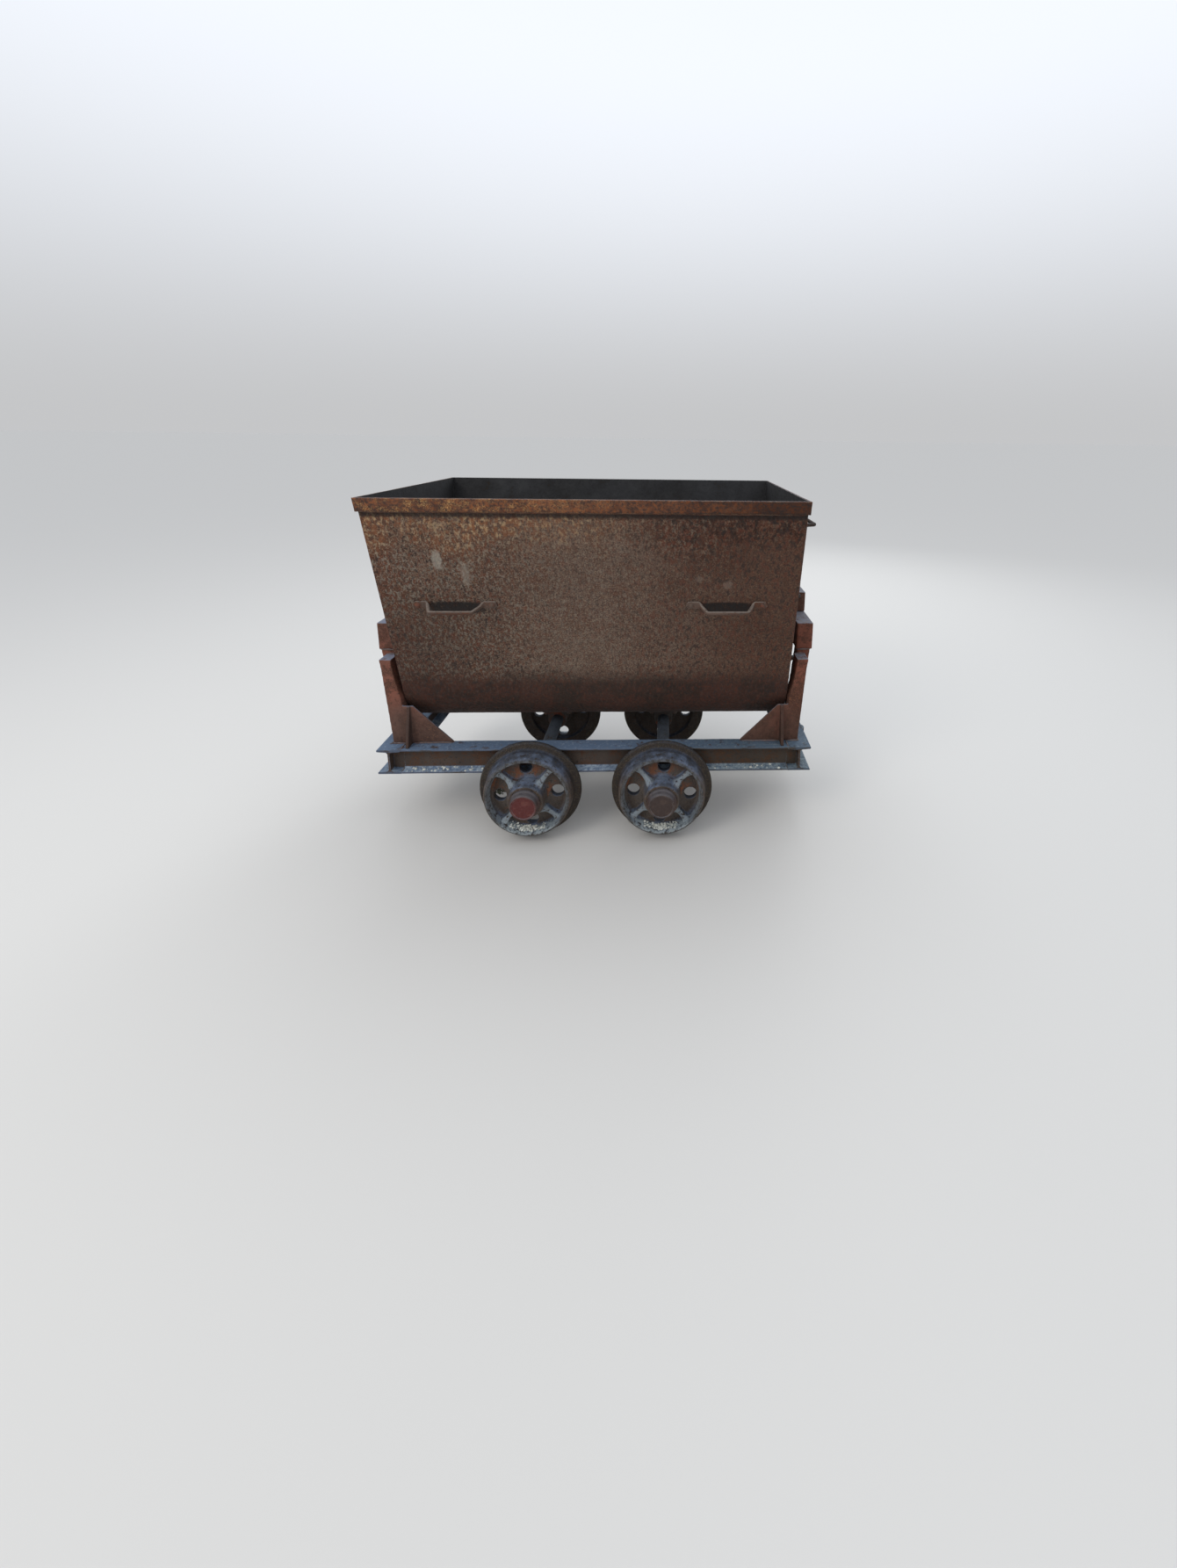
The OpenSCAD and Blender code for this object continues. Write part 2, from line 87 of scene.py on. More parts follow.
BEAM_HEIGHT = beam_high.z - beam_low.z
BEAM_MIDDLE = (beam_low.z + beam_high.z) / 2
FLANGE_END = -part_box("end_beam_left")[1].x
KNEE_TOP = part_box("knee_near_left")[1].z
KNEE_FOOT_Y = 214 * MM
GUSSET_TOP = 445 * MM
RIB_IN, RIB_OUT = 640 * MM, 650 * MM

WHEEL_FACE = 310 * MM
HOLE_RING = 97 * MM
HOLE_R = 21 * MM


def half_width(z, inset=0.0):
    """Half width of the tub at a height, measured to a surface that far inside the outer one."""
    if z >= BOTTOM_Z - (BOTTOM_R - inset) * math.sin(SIDE_LEAN):
        return RIM_HALF - (RIM_Z - z) * math.tan(SIDE_LEAN) - inset / math.cos(SIDE_LEAN)
    return math.sqrt(max((BOTTOM_R - inset) ** 2 - (BOTTOM_Z - z) ** 2, 0))


# -------------------- camera and light

CAMERA_PLACE = Vector((0.2433, -2.0926, 1.3742))
CAMERA_PITCH = math.radians(-11.285)
CAMERA_YAW = math.radians(-2.354)
CAMERA_ROLL = math.radians(0.795)
CAMERA_LENS = 13.297
CAMERA_SHIFT = (-0.0660, -0.1495)

HORIZON = (0.56, 0.565, 0.575, 1)
ZENITH = (0.93, 0.97, 1.04, 1)
CART_MIDDLE = Vector((0, 0, 0.55))


def show(thing):
    bpy.context.scene.collection.objects.link(thing)


def make_camera():
    data = bpy.data.cameras.new("camera")
    data.sensor_width = 36
    data.lens = CAMERA_LENS
    data.shift_x, data.shift_y = CAMERA_SHIFT
    data.clip_end = 400
    camera = bpy.data.objects.new("camera", data)
    show(camera)
    level = Matrix.Rotation(math.radians(90) + CAMERA_PITCH, 4, "X")
    roll = Matrix.Rotation(CAMERA_ROLL, 4, "Z")
    camera.matrix_world = (
        Matrix.Translation(CAMERA_PLACE) @ Matrix.Rotation(CAMERA_YAW, 4, "Z") @ level @ roll
    )
    bpy.context.scene.camera = camera


def area_light(name, place, size, power, tint):
    data = bpy.data.lights.new(name, "AREA")
    data.shape = "DISK"
    data.size = size
    data.energy = power
    data.color = tint
    light = bpy.data.objects.new(name, data)
    show(light)
    light.location = place
    light.rotation_euler = (CART_MIDDLE - Vector(place)).to_track_quat("-Z", "Y").to_euler()


def make_light():
    """A soft sky that is brighter overhead and meets the floor's colour at the horizon, and large lamps."""
    world = bpy.data.worlds.new("studio")
    bpy.context.scene.world = world
    world.use_nodes = True
    sky = Nodes(world.node_tree)
    height = sky.axes(sky.coordinates.outputs["Generated"])[2]
    sky.put(sky.tree.nodes["Background"].inputs["Color"], sky.mix((height, 0, 0.5), HORIZON, ZENITH))
    area_light("key_light", (-2.8, -3.4, 4.0), 2.4, 70, (1.0, 0.95, 0.88))
    area_light("top_light", (0.2, 0.6, 4.4), 3.0, 45, (0.86, 0.93, 1.0))
    area_light("back_light", (1.8, 4.0, 3.0), 2.6, 40, (0.94, 0.97, 1.0))
    bpy.context.scene.view_settings.view_transform = "Standard"


# -------------------- shaders


def colour(code):
    """Linear RGBA from a hex colour such as 6b5d54."""
    parts = [int(code[i : i + 2], 16) / 255 for i in (0, 2, 4)]
    return (*(c / 12.92 if c <= 0.04045 else ((c + 0.055) / 1.055) ** 2.4 for c in parts), 1.0)


class Nodes:
    """Short calls for the nodes that a material or a world needs."""

    def __init__(self, tree):
        self.tree = tree
        self.coordinates = tree.nodes.new("ShaderNodeTexCoord")

    def put(self, socket, value):
        """Links a socket to another, or gives it a number, a vector or a hex colour."""
        if isinstance(value, bpy.types.NodeSocket):
            self.tree.links.new(value, socket)
        elif value is not None:
            socket.default_value = colour(value) if isinstance(value, str) else value

    def node(self, kind, *values):
        made = self.tree.nodes.new(kind)
        for socket, value in zip(made.inputs, values):
            self.put(socket, value)
        return made

    def axes(self, vector):
        return self.node("ShaderNodeSeparateXYZ", vector).outputs[0:3]

    def math(self, operation, a, b=None):
        made = self.node("ShaderNodeMath", a, b)
        made.operation = operation
        return made.outputs[0]

    def add(self, a, b):
        return self.math("ADD", a, b)

    def times(self, *factors):
        """The product. Here and in every share below, a tuple stands for the step that it describes."""
        factors = [self.step(*factor) if isinstance(factor, tuple) else factor for factor in factors]
        out = factors[0]
        for factor in factors[1:]:
            out = self.math("MULTIPLY", out, factor)
        return out

    def biggest(self, a, b):
        return self.math("MAXIMUM", a, b)

    def unsigned(self, value):
        return self.math("ABSOLUTE", value)

    def frayed(self, value, pattern, amount):
        """A value pushed up by a pattern, so that its edges come out ragged."""
        return self.add(value, self.times(pattern, amount))

    def weighted(self, a, share_a, b, share_b):
        return self.add(self.times(a, share_a), self.times(b, share_b))

    def step(self, value, low, high, to_low=0.0, to_high=1.0):
        """Smooth rise from to_low at low to to_high at high; low may be the larger one."""
        if low > high:
            low, high, to_low, to_high = high, low, to_high, to_low
        made = self.node("ShaderNodeMapRange", value, low, high, to_low, to_high)
        made.interpolation_type = "SMOOTHSTEP"
        return made.outputs[0]

    def within(self, value, rise, full, still_full, fall):
        """1 between full and still_full, fading to 0 at rise and fall."""
        return self.times((value, rise, full), (value, fall, still_full))

    def mix(self, share, a, b, blend="MIX"):
        made = self.tree.nodes.new("ShaderNodeMix")
        made.data_type = "RGBA"
        made.blend_type = blend
        self.put(made.inputs[0], self.times(share))
        self.put(made.inputs[6], a)
        self.put(made.inputs[7], b)
        return made.outputs[2]


class Shader(Nodes):
    """A material whose tone is painted on in layers."""

    def __init__(self, name, metallic=0.0, specular=0.35):
        self.material = bpy.data.materials.new(name)
        self.material.use_nodes = True
        super().__init__(self.material.node_tree)
        self.surface = self.tree.nodes["Principled BSDF"]
        self.surface.inputs["Metallic"].default_value = metallic
        self.surface.inputs["Specular IOR Level"].default_value = specular
        self.place = self.coordinates.outputs["Object"]
        self.normal = self.coordinates.outputs["Normal"]
        self.x, self.y, self.z = self.axes(self.place)
        self.tone = None

    def scaled(self, scale, offset=(0, 0, 0)):
        return self.node("ShaderNodeMapping", self.place, offset, (0, 0, 0), scale).outputs[0]

    def noise(self, scale, detail, roughness, vector=None):
        """Noise in metres, or in another vector's units; None leaves the node's W input alone."""
        place = vector or self.place
        return self.node("ShaderNodeTexNoise", place, None, scale, detail, roughness).outputs[0]

    def facing_up(self, low, high):
        return self.step(self.axes(self.normal)[2], low, high)

    def from_axle(self):
        """Distance from the piece's own Y axis."""
        return self.math("SQRT", self.add(self.times(self.x, self.x), self.times(self.z, self.z)))

    def spot(self, centre, size, ragged, power=2):
        """1 in a ragged ellipse on the near side sheet, with its centre and half sizes as (x, z).

        A high power makes it square.
        """
        across = self.math("DIVIDE", self.math("SUBTRACT", self.x, centre[0]), size[0])
        along = self.math("DIVIDE", self.math("SUBTRACT", self.z, centre[1]), size[1])
        spread = self.add(self.times(*[across] * power), self.times(*[along] * power))
        return self.times((self.add(spread, ragged), 1.5, 0.3), (self.y, 0.0, -0.1))

    def worn_edges(self, radius=0.004):
        """1 on sharp edges and corners, 0 on flat faces."""
        rounded = self.tree.nodes.new("ShaderNodeBevel")
        rounded.samples = 4
        rounded.inputs["Radius"].default_value = radius
        flat = self.tree.nodes.new("ShaderNodeNewGeometry").outputs["Normal"]
        dot = self.node("ShaderNodeVectorMath", rounded.outputs[0], flat)
        dot.operation = "DOT_PRODUCT"
        return self.step(dot.outputs["Value"], 0.985, 0.86)

    def paint(self, look, *shares, blend="MIX"):
        """Lays a colour over the tone, as strongly as the product of the shares."""
        self.tone = self.mix(self.times(*shares), self.tone, look, blend)

    def darken(self, factors, *shares):
        self.paint((*factors, 1), *shares, blend="MULTIPLY")

    def finish(self, roughness, height, depth):
        bump = self.tree.nodes.new("ShaderNodeBump")
        bump.inputs["Distance"].default_value = depth
        bump.inputs["Strength"].default_value = 1.0
        self.put(bump.inputs["Height"], height)
        self.put(self.surface.inputs["Base Color"], self.tone)
        self.put(self.surface.inputs["Roughness"], roughness)
        self.put(self.surface.inputs["Normal"], bump.outputs[0])
        return self.material


def rusted_steel(name, base, second, rust="6a3a29", bright="8a5433", dark="1f1815", rusty=0.5, grain=1.0,
                 top=None, flecks="8b857c", edge=None, tint=None, metallic=0.0, relief=0.0014):
    """Weathered steel: two broad tones, rust patches, specks and pits, dust with a painted sky sheen on
    faces that face up, and worn edges.
    """
    s = Shader(name, metallic)
    broad = s.noise(3.5, 3, 0.55)
    patches = s.noise(16, 6, 0.68)
    mottle = s.noise(85 * grain, 5, 0.72)
    fine = s.noise(330 * grain, 3, 0.7)
    s.tone = s.mix((broad, 0.38, 0.62), base, second)
    spread = s.weighted(patches, 0.6, mottle, 0.4)
    level = 0.62 - 0.24 * rusty
    s.paint(rust, (spread, level, level + 0.09), 0.85)
    s.paint(bright, (fine, 0.53, 0.66), (spread, level, level + 0.14), 0.7)
    s.paint(dark, (mottle, 0.44, 0.34), 0.65)
    s.paint(dark, (fine, 0.42, 0.32), 0.5)
    # The top colour is dust with a painted sky sheen, laid on faces that face up
    if top:
        dust_and_sheen_patches = s.step(s.noise(34, 6, 0.70), 0.32, 0.46)
        s.paint(s.mix((mottle, 0.50, 0.72), top, flecks), s.facing_up(0.35, 0.85), dust_and_sheen_patches, 0.90)
    if edge:
        s.paint(edge, s.worn_edges(), (s.noise(60, 5, 0.7), 0.36, 0.60), 0.75)
    if tint:
        tint(s, patches, mottle)
    return s.finish(s.step(spread, 0.3, 0.7, 0.60, 0.92), s.weighted(mottle, 0.6, fine, 0.4), relief)


def beam_tint(s, patches, mottle):
    """Slate flange edges, pale grit with a painted sky highlight on the lower flanges' up faces, and painted
    shade over the right half.
    """
    level = s.unsigned(s.math("SUBTRACT", s.z, BEAM_MIDDLE))
    flange = s.step(level, BEAM_HEIGHT / 2 - 10 * MM, BEAM_HEIGHT / 2 - 7 * MM)
    upright = s.step(s.unsigned(s.axes(s.normal)[2]), 0.5, 0.2)
    s.paint("4d5d73", flange, (patches, 0.36, 0.50), upright, 0.75)
    # Pale grit, with a painted sky highlight, on the lower flanges' up faces
    grit = s.times((patches, 0.34, 0.56), (mottle, 0.36, 0.60))
    lower_flange = s.step(s.z, beam_low.z + 28.5 * MM, beam_low.z + 26.5 * MM)
    s.paint("97a5b2", s.facing_up(0.35, 0.85), grit, lower_flange, 0.85)
    # Painted shade over the right half
    s.darken((0.78, 0.78, 0.70), (s.x, 0.0, 0.55))


def stand_tint(s, patches, mottle):
    """Browner and darker low down; painted shade at the right and on the knees' foot ribs, which are
    darkest.
    """
    low = s.mix((mottle, 0.42, 0.58), "3d2f29", "54423a")
    s.paint(low, (s.frayed(s.z, patches, 0.2), 0.60, 0.48), 0.55)
    # Painted shade on the knees' foot ribs
    rib = s.within(s.unsigned(s.x), RIB_IN - 4 * MM, RIB_IN - 1 * MM, RIB_OUT + 1 * MM, RIB_OUT + 4 * MM)
    below_top = s.step(s.z, GUSSET_TOP + 9 * MM, GUSSET_TOP + 5 * MM)
    outside = s.step(s.unsigned(s.y), KNEE_FOOT_Y - 1 * MM, KNEE_FOOT_Y + 2 * MM)
    s.paint("332722", rib, below_top, outside, 0.6)
    # Painted shade at the right
    s.darken((0.80, 0.72, 0.64), (s.x, 0.30, 0.60))


# Pale scuffs on the near side sheet: (x, z), half sizes and strength
PALE_SCUFFS = [
    ((-0.464, 0.985), (0.015, 0.032), 0.42),
    ((-0.385, 0.940), (0.014, 0.040), 0.22),
    ((0.432, 0.905), (0.016, 0.014), 0.13),
    ((0.340, 0.925), (0.012, 0.012), 0.10),
]

# The open space behind each grab handle's bar, seen as a dark patch
HANDLE_SHADOW = (84 * MM, 21 * MM)
HANDLE_SHADOW_DROP = 12 * MM


def tub_steel(name):
    """The tub's outer sheet: upright specks, coarse at the left and top right, and a dark red lower part."""
    s = Shader(name)
    upright = s.scaled((1, 1, 0.62))
    broad = s.noise(2.2, 3, 0.5)
    clouds = s.noise(7.5, 6, 0.66)
    speck = s.noise(102, 4, 0.66, upright)
    grey_speck = s.noise(112, 4, 0.66, s.scaled((1, 1, 0.62), (3.1, 0.7, 1.9)))
    red_speck = s.noise(90, 4, 0.66, s.scaled((1, 1, 0.55), (0.4, 2.2, 5.3)))
    fine = s.noise(230, 3, 0.7)

    left = s.step(s.frayed(s.x, clouds, 0.7), 0.42, -0.18)
    top_right = s.times((s.x, -0.10, 0.45), (s.frayed(s.z, clouds, 0.22), 1.07, 1.20))
    coarse = s.biggest(left, top_right)
    along_side = s.step(s.unsigned(s.axes(s.normal)[0]), 0.8, 0.4)
    red_side = s.biggest(s.step(s.frayed(s.x, clouds, 0.16), -0.46, -0.60), s.times(top_right, 0.6))
    s.tone = s.mix((broad, 0.35, 0.65), "69574b", "5a483e")
    s.paint("533c30", (clouds, 0.40, 0.62), 0.6)
    s.paint("653422", red_side, along_side, 0.55)

    # Specks, stronger where the rust is coarse
    s.paint("54331f", (coarse, 0, 1, 0.10, 0.55), (clouds, 0.34, 0.58, 0.4, 1.0))
    less_on_ends = s.step(along_side, 0, 1, 0.6, 1.0)
    s.paint("5f3424", (red_speck, 0.48, 0.60), (coarse, 0, 1, 0.30, 0.80), less_on_ends)
    in_clouds, off_clouds = s.step(clouds, 0.36, 0.56, 0.60, 1.0), s.step(clouds, 0.60, 0.40, 0.60, 1.0)
    s.paint("7b756a", (grey_speck, 0.49, 0.59), (coarse, 0, 1, 0.30, 0.74), in_clouds)
    s.paint("291912", (speck, 0.48, 0.41), (coarse, 0, 1, 0.45, 0.92), off_clouds)
    s.paint("94846f", (fine, 0.54, 0.64), 0.5)
    s.paint("231913", (fine, 0.46, 0.36), 0.65)

    # Painted warm highlights at the top left, dark blots at the top right, and painted shade over the right
    # half
    painted_highlight_top_left = s.times((s.frayed(s.z, clouds, 0.34), 1.16, 1.32), (s.x, 0.30, -0.25))
    s.paint("8a5a38", painted_highlight_top_left, (red_speck, 0.44, 0.56), 0.55)
    s.paint("ab8d66", painted_highlight_top_left, (grey_speck, 0.52, 0.60), 0.70)
    s.paint("1f1613", top_right, (s.noise(48, 5, 0.7, upright), 0.49, 0.58), 0.75)
    s.darken((0.58, 0.43, 0.36), (s.frayed(s.x, broad, 0.4), 0.15, 0.80))
    right_side = s.step(s.frayed(s.x, clouds, 0.3), 0.10, 0.45)
    s.paint("251812", right_side, (speck, 0.47, 0.38), 0.65)
    s.paint("5c3527", right_side, (red_speck, 0.52, 0.62), 0.45)
    s.darken((0.62, 0.58, 0.57), (s.frayed(s.x, clouds, 0.5), 0.05, -0.35), (s.z, 0.98, 0.70))

    # Water runs, scuffs and the shadows behind the handles
    runs = s.noise(1.0, 4, 0.6, s.scaled((38, 38, 1.6)))
    s.paint("43291d", (runs, 0.54, 0.68), (s.z, 0.70, 1.12), 0.40)
    ragged = s.add(s.times(s.noise(48, 5, 0.7), 3.0), -1.5)
    for centre, size, share in PALE_SCUFFS:
        s.paint("a8a296", s.spot(centre, size, ragged), share)
    for sign in ENDS.values():
        centre = (sign * HANDLE_X, HANDLE_Z - HANDLE_SHADOW_DROP)
        shadowed = s.spot(centre, HANDLE_SHADOW, s.times(ragged, 0.35), 4)
        s.paint("130d0b", shadowed, (speck, 0.66, 0.50, 0.70, 0.96))

    # The dark red round bottom, and a painted shadow under the rim band
    red_brown = s.mix((clouds, 0.40, 0.60), "24160f", "3a2017")
    red_brown = s.mix(s.times((red_speck, 0.50, 0.64), 0.45), red_brown, "532c1e")
    red_brown = s.mix(s.times((grey_speck, 0.54, 0.64), 0.20), red_brown, "4e3c33")
    red_brown = s.mix(s.times((speck, 0.46, 0.38), 0.70), red_brown, "1a110e")
    s.paint(red_brown, (s.frayed(s.frayed(s.z, clouds, 0.07), speck, 0.03), 0.655, 0.560), 0.90)
    # Painted shadow under the rim band
    s.paint("1d1411", (s.frayed(s.z, speck, 0.018), BAND_LOW - 14 * MM, BAND_LOW), 0.85)
    height = s.frayed(s.weighted(speck, 0.5, fine, 0.25), grey_speck, 0.4)
    return s.finish(s.step(speck, 0.36, 0.60, 0.66, 0.90), height, 0.0020)


def rim_steel(name):
    """The rim band: orange rust with painted straw-coloured highlights at the left, painted shade towards
    the right, rubbed edges, and a painted highlight on its top face.
    """
    s = Shader(name)
    clouds = s.noise(9, 6, 0.66)
    speck = s.noise(110, 4, 0.68)
    fine = s.noise(360, 3, 0.7)
    s.tone = s.mix((clouds, 0.36, 0.62), "784f37", "603d2b")
    s.paint("87502f", (speck, 0.50, 0.60), 0.8)
    s.paint("46291f", (s.noise(30, 5, 0.7), 0.46, 0.60), 0.55)
    # Painted straw-coloured highlights at the left
    at_left = s.step(s.x, 0.25, -0.45)
    s.paint("c09a62", at_left, (s.noise(26, 4, 0.65), 0.42, 0.60), (fine, 0.50, 0.60), 0.85)
    s.paint("33211a", (speck, 0.48, 0.38), 0.80)
    s.paint("2c1d17", (fine, 0.45, 0.36), 0.6)
    s.paint("35231c", (s.frayed(s.z, speck, 0.012), BAND_LOW + 16 * MM, BAND_LOW + 4 * MM), 0.7)
    # Painted shade towards the right
    s.darken((0.40, 0.34, 0.29), (s.frayed(s.x, clouds, 0.5), 0.25, 0.90))
    s.paint("a2886c", s.worn_edges(0.005), (s.noise(45, 5, 0.7), 0.40, 0.62), 0.6)
    # Painted highlight on the faces that face up
    s.paint("7d7276", s.facing_up(0.5, 0.9), 0.55)
    return s.finish(s.step(speck, 0.35, 0.62, 0.60, 0.88), s.weighted(speck, 0.6, fine, 0.4), 0.0018)


def wheel_iron(name, outward):
    """Cast wheel about its own centre: rusty hollows outside, a painted slate highlight where it faces up,
    and painted shade on its inner side.
    """
    s = Shader(name)
    radius = s.from_axle()
    depth = s.times(s.y, outward)
    clouds = s.noise(24, 6, 0.70)
    mottle = s.noise(100, 5, 0.72)
    fine = s.noise(330, 3, 0.7)
    s.tone = s.mix((clouds, 0.40, 0.60), "574c45", "423933")
    s.paint("56402f", (mottle, 0.50, 0.60), 0.7)

    # The disc, rusty in its upper part, and a painted slate highlight on whatever faces up
    patchy = s.step(s.add(clouds, s.step(s.z, -0.06, 0.12, -0.12, 0.06)), 0.47, 0.60)
    disc = s.within(radius, 0.060, 0.068, 0.124, 0.132)
    s.paint(s.mix(patchy, "58504a", "804e32"), disc, s.within(depth, -0.004, -0.001, 0.010, 0.018), 0.80)
    slate = s.mix((clouds, 0.38, 0.60), "5c6c84", "39424f")
    s.paint(slate, s.facing_up(0.10, 0.75), (mottle, 0.34, 0.48), 0.85)

    # Ribs, rim face and flange
    ribs = s.within(radius, 0.060, 0.070, 0.124, 0.138)
    s.paint("828c93", ribs, s.within(depth, 0.009, 0.014, 0.036, 0.040), (mottle, 0.36, 0.50), 0.85)
    lip = s.times((radius, 0.122, 0.128), (depth, 0.030, 0.034))
    s.paint(s.mix((mottle, 0.46, 0.60), "34322f", "555c63"), lip, 0.7)
    flange = s.step(radius, 0.151, 0.155)
    s.paint("332c27", flange, 0.55)
    s.paint("8a7b5c", flange, (fine, 0.52, 0.60), 0.55)

    # Rubbed edges, caked dust at the foot, pits, dust specks and painted shade on the back
    s.paint("8a959f", s.worn_edges(0.005), (clouds, 0.36, 0.54), 0.75)
    foot = s.times((s.z, -0.080, -0.112), s.within(radius, 0.098, 0.116, 0.132, 0.140))
    s.paint("99a3a6", foot, (depth, 0.0, 0.004), (mottle, 0.42, 0.54), 0.80)
    s.paint("1f1916", (mottle, 0.45, 0.36), 0.8)
    s.paint("1f1916", (fine, 0.44, 0.34), 0.5)
    s.paint("93866b", (fine, 0.60, 0.67), 0.45)
    # Painted shade on the inner side, towards the middle of the track
    s.darken((0.42, 0.40, 0.40), (depth, 0.004, -0.010))
    return s.finish(s.step(mottle, 0.3, 0.7, 0.55, 0.90), s.weighted(mottle, 0.6, fine, 0.4), 0.0018)


def cap_paint(name, face, ring, bare):
    """Hub cap in coordinates about the wheel's centre: a painted face inside a bare grey step."""
    s = Shader(name)
    clouds = s.noise(38, 5, 0.66)
    mottle = s.noise(130, 4, 0.7)
    fine = s.noise(420, 3, 0.7)
    on_face = s.step(s.frayed(s.from_axle(), clouds, 0.005), 0.0455, 0.0425)
    s.tone = s.mix(on_face, s.mix((clouds, 0.4, 0.6), ring, "4b3a34"), face)
    s.paint(bare, (clouds, 0.52, 0.64), on_face, 0.6)
    # Painted slate highlight on the faces that face up
    s.paint("575a60", s.facing_up(0.10, 0.75), 0.55)
    s.paint("7c7674", s.worn_edges(0.0035), (clouds, 0.36, 0.56), 0.70)
    s.paint("2c1a18", (mottle, 0.42, 0.33), 0.6)
    s.paint("33201e", (fine, 0.40, 0.30), 0.5)
    return s.finish(s.step(mottle, 0.3, 0.7, 0.50, 0.82), s.weighted(mottle, 0.6, fine, 0.4), 0.0010)


# Colours: two base tones, then rust, bright rust and dark pits; top is dust with a painted sky sheen on
# faces that face up
LOOKS = {
    "tub": tub_steel("tub_sheet_rust"),
    # The tub's inside is a plain near-black grey
    "inside": rusted_steel(
        "tub_inside_dark_grey", "222224", "191819", "21180f", "31271f", "0c0b0c", rusty=0.30),
    "rim": rim_steel("rim_band_rust"),
    "beam": rusted_steel(
        "beam_mill_scale", "4b3f37", "3d332d", "4c3324", "745535", "1c1613", rusty=0.60, top="596d86",
        flecks="8494a3", edge="7b8fa5", tint=beam_tint),
    "oxide": rusted_steel(
        "oxide_paint", "7f4b3b", "634539", "4b3026", "98684a", "221814", rusty=0.68, top="7b8497",
        edge="8f8782", tint=stand_tint),
    "near_wheel": wheel_iron("near_wheel_rust", -1),
    "far_wheel": wheel_iron("far_wheel_rust", 1),
    "iron": rusted_steel(
        "bracket_casting_rust", "4d4641", "3e3733", rusty=0.45, top="646c74", edge="6e747a"),
    "axle": rusted_steel(
        "axle_turned_steel", "4a5058", "3a3f45", "3f352e", "66563f", rusty=0.25, metallic=0.4,
        relief=0.0006),
    "red_cap": cap_paint("cap_red_paint", "552523", "3c2c28", "70423a"),
    "brown_cap": cap_paint("cap_brown_rust", "3c2f2b", "3d2c27", "504038"),
    "handle": rusted_steel(
        "handle_worn_steel", "5d4a40", "483a33", "52301f", "87603f", rusty=0.55, top="7b7068", edge="877a70",
        grain=1.6, relief=0.0012),
    "push_bar": rusted_steel(
        "push_bar_dark_steel", "39312c", "2d2724", "41291f", "5f4636", rusty=0.45, edge="6a615b",
        grain=1.6, relief=0.0010),
    "fastener": rusted_steel(
        "fastener_rust", "5a4a40", "483932", rusty=0.55, edge="857a70", grain=1.8, relief=0.0008),
    "weld": rusted_steel(
        "weld_bead_rust", "60483e", "4c3a33", rusty=0.50, top="6d6f76", edge="7a6d65", grain=1.6,
        relief=0.0008),
    "seam": rusted_steel(
        "tub_seam_rust", "54392d", "402b22", rusty=0.50, edge="6f5648", grain=1.6, relief=0.0008),
    "bronze": rusted_steel(
        "bush_bronze_grease", "7d6035", "5e4828", "43341f", "9c7a45", rusty=0.30, metallic=0.7,
        relief=0.0006),
    "crumbs": rusted_steel(
        "caked_crumbs", "d6d8d0", "bdbfb8", "98886f", "e2e2d8", "6b6355", rusty=0.28, grain=2.0,
        relief=0.0008),
    "silt": rusted_steel(
        "dark_silt", "5a5e50", "454739", "5a4a3a", "7d7f68", "22221c", rusty=0.35, grain=2.0, relief=0.0008),
}


# -------------------- mesh tools


def to_mesh(bm):
    bmesh.ops.recalc_face_normals(bm, faces=bm.faces)
    mesh = bpy.data.meshes.new("work")
    bm.to_mesh(mesh)
    bm.free()
    return mesh


def place_piece(name, shape, look, body, replaces=(), centre=(0, 0, 0), sharp=38, wear=None):
    """Puts a mesh or bmesh in the scene as a piece that rides a body.

    look names its material, or one for each material index; centre is the mesh's own origin; wear is what
    roughen takes.
    """
    mesh = to_mesh(shape) if isinstance(shape, bmesh.types.BMesh) else shape
    if wear:
        roughen(mesh, *wear)
    for key in [look] if isinstance(look, str) else look:
        mesh.materials.append(LOOKS[key])
    mesh.shade_smooth()
    mesh.set_sharp_from_angle(angle=math.radians(sharp))
    piece = bpy.data.objects.new(name, mesh)
    show(piece)
    piece.location = centre
    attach(piece, body)
    if replaces:
        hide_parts(*replaces)


def mm(*points):
    return [tuple(value * MM for value in point) for point in points]


def rectangle(a0, b0, a1, b1):
    return [(a0, b0), (a1, b0), (a1, b1), (a0, b1)]


def mirrored(points, sign):
    return [(sign * x, z) for x, z in points]


def bend(before, corner, after, radius, steps):
    """Points round a corner, from one side's tangent to the other's."""
    here = Vector(corner)
    back, ahead = (Vector(before) - here).normalized(), (Vector(after) - here).normalized()
    half = back.angle(ahead) / 2
    start = here + back * radius / math.tan(half)
    end = here + ahead * radius / math.tan(half)
    centre = here + (back + ahead).normalized() * radius / math.sin(half)
    arms = [(start - centre).lerp(end - centre, k / steps) for k in range(steps + 1)]
    return [centre + arm.normalized() * radius for arm in arms]


def rounded(corners, radii):
    """An outline with its corners rounded; radii is one radius, or one for each corner."""
    if not isinstance(radii, list):
        radii = [radii] * len(corners)
    out = []
    for i, (corner, radius) in enumerate(zip(corners, radii)):
        after = corners[(i + 1) % len(corners)]
        out += bend(corners[i - 1], corner, after, radius, 3) if radius > 0 else [Vector(corner)]
    return out


def loft(bm, rings, closed=False):
    """Quads between rings of points with equal counts, with flat caps, or closed round into a ring."""
    rows = [[bm.verts.new(p) for p in ring] for ring in rings]
    pairs = list(zip(rows, rows[1:])) + ([(rows[-1], rows[0])] if closed else [])
    for a, b in pairs:
        for i in range(len(a)):
            j = (i + 1) % len(a)
            bm.faces.new((a[i], a[j], b[j], b[i]))
    if not closed:
        bm.faces.new(rows[0])
        bm.faces.new(rows[-1])


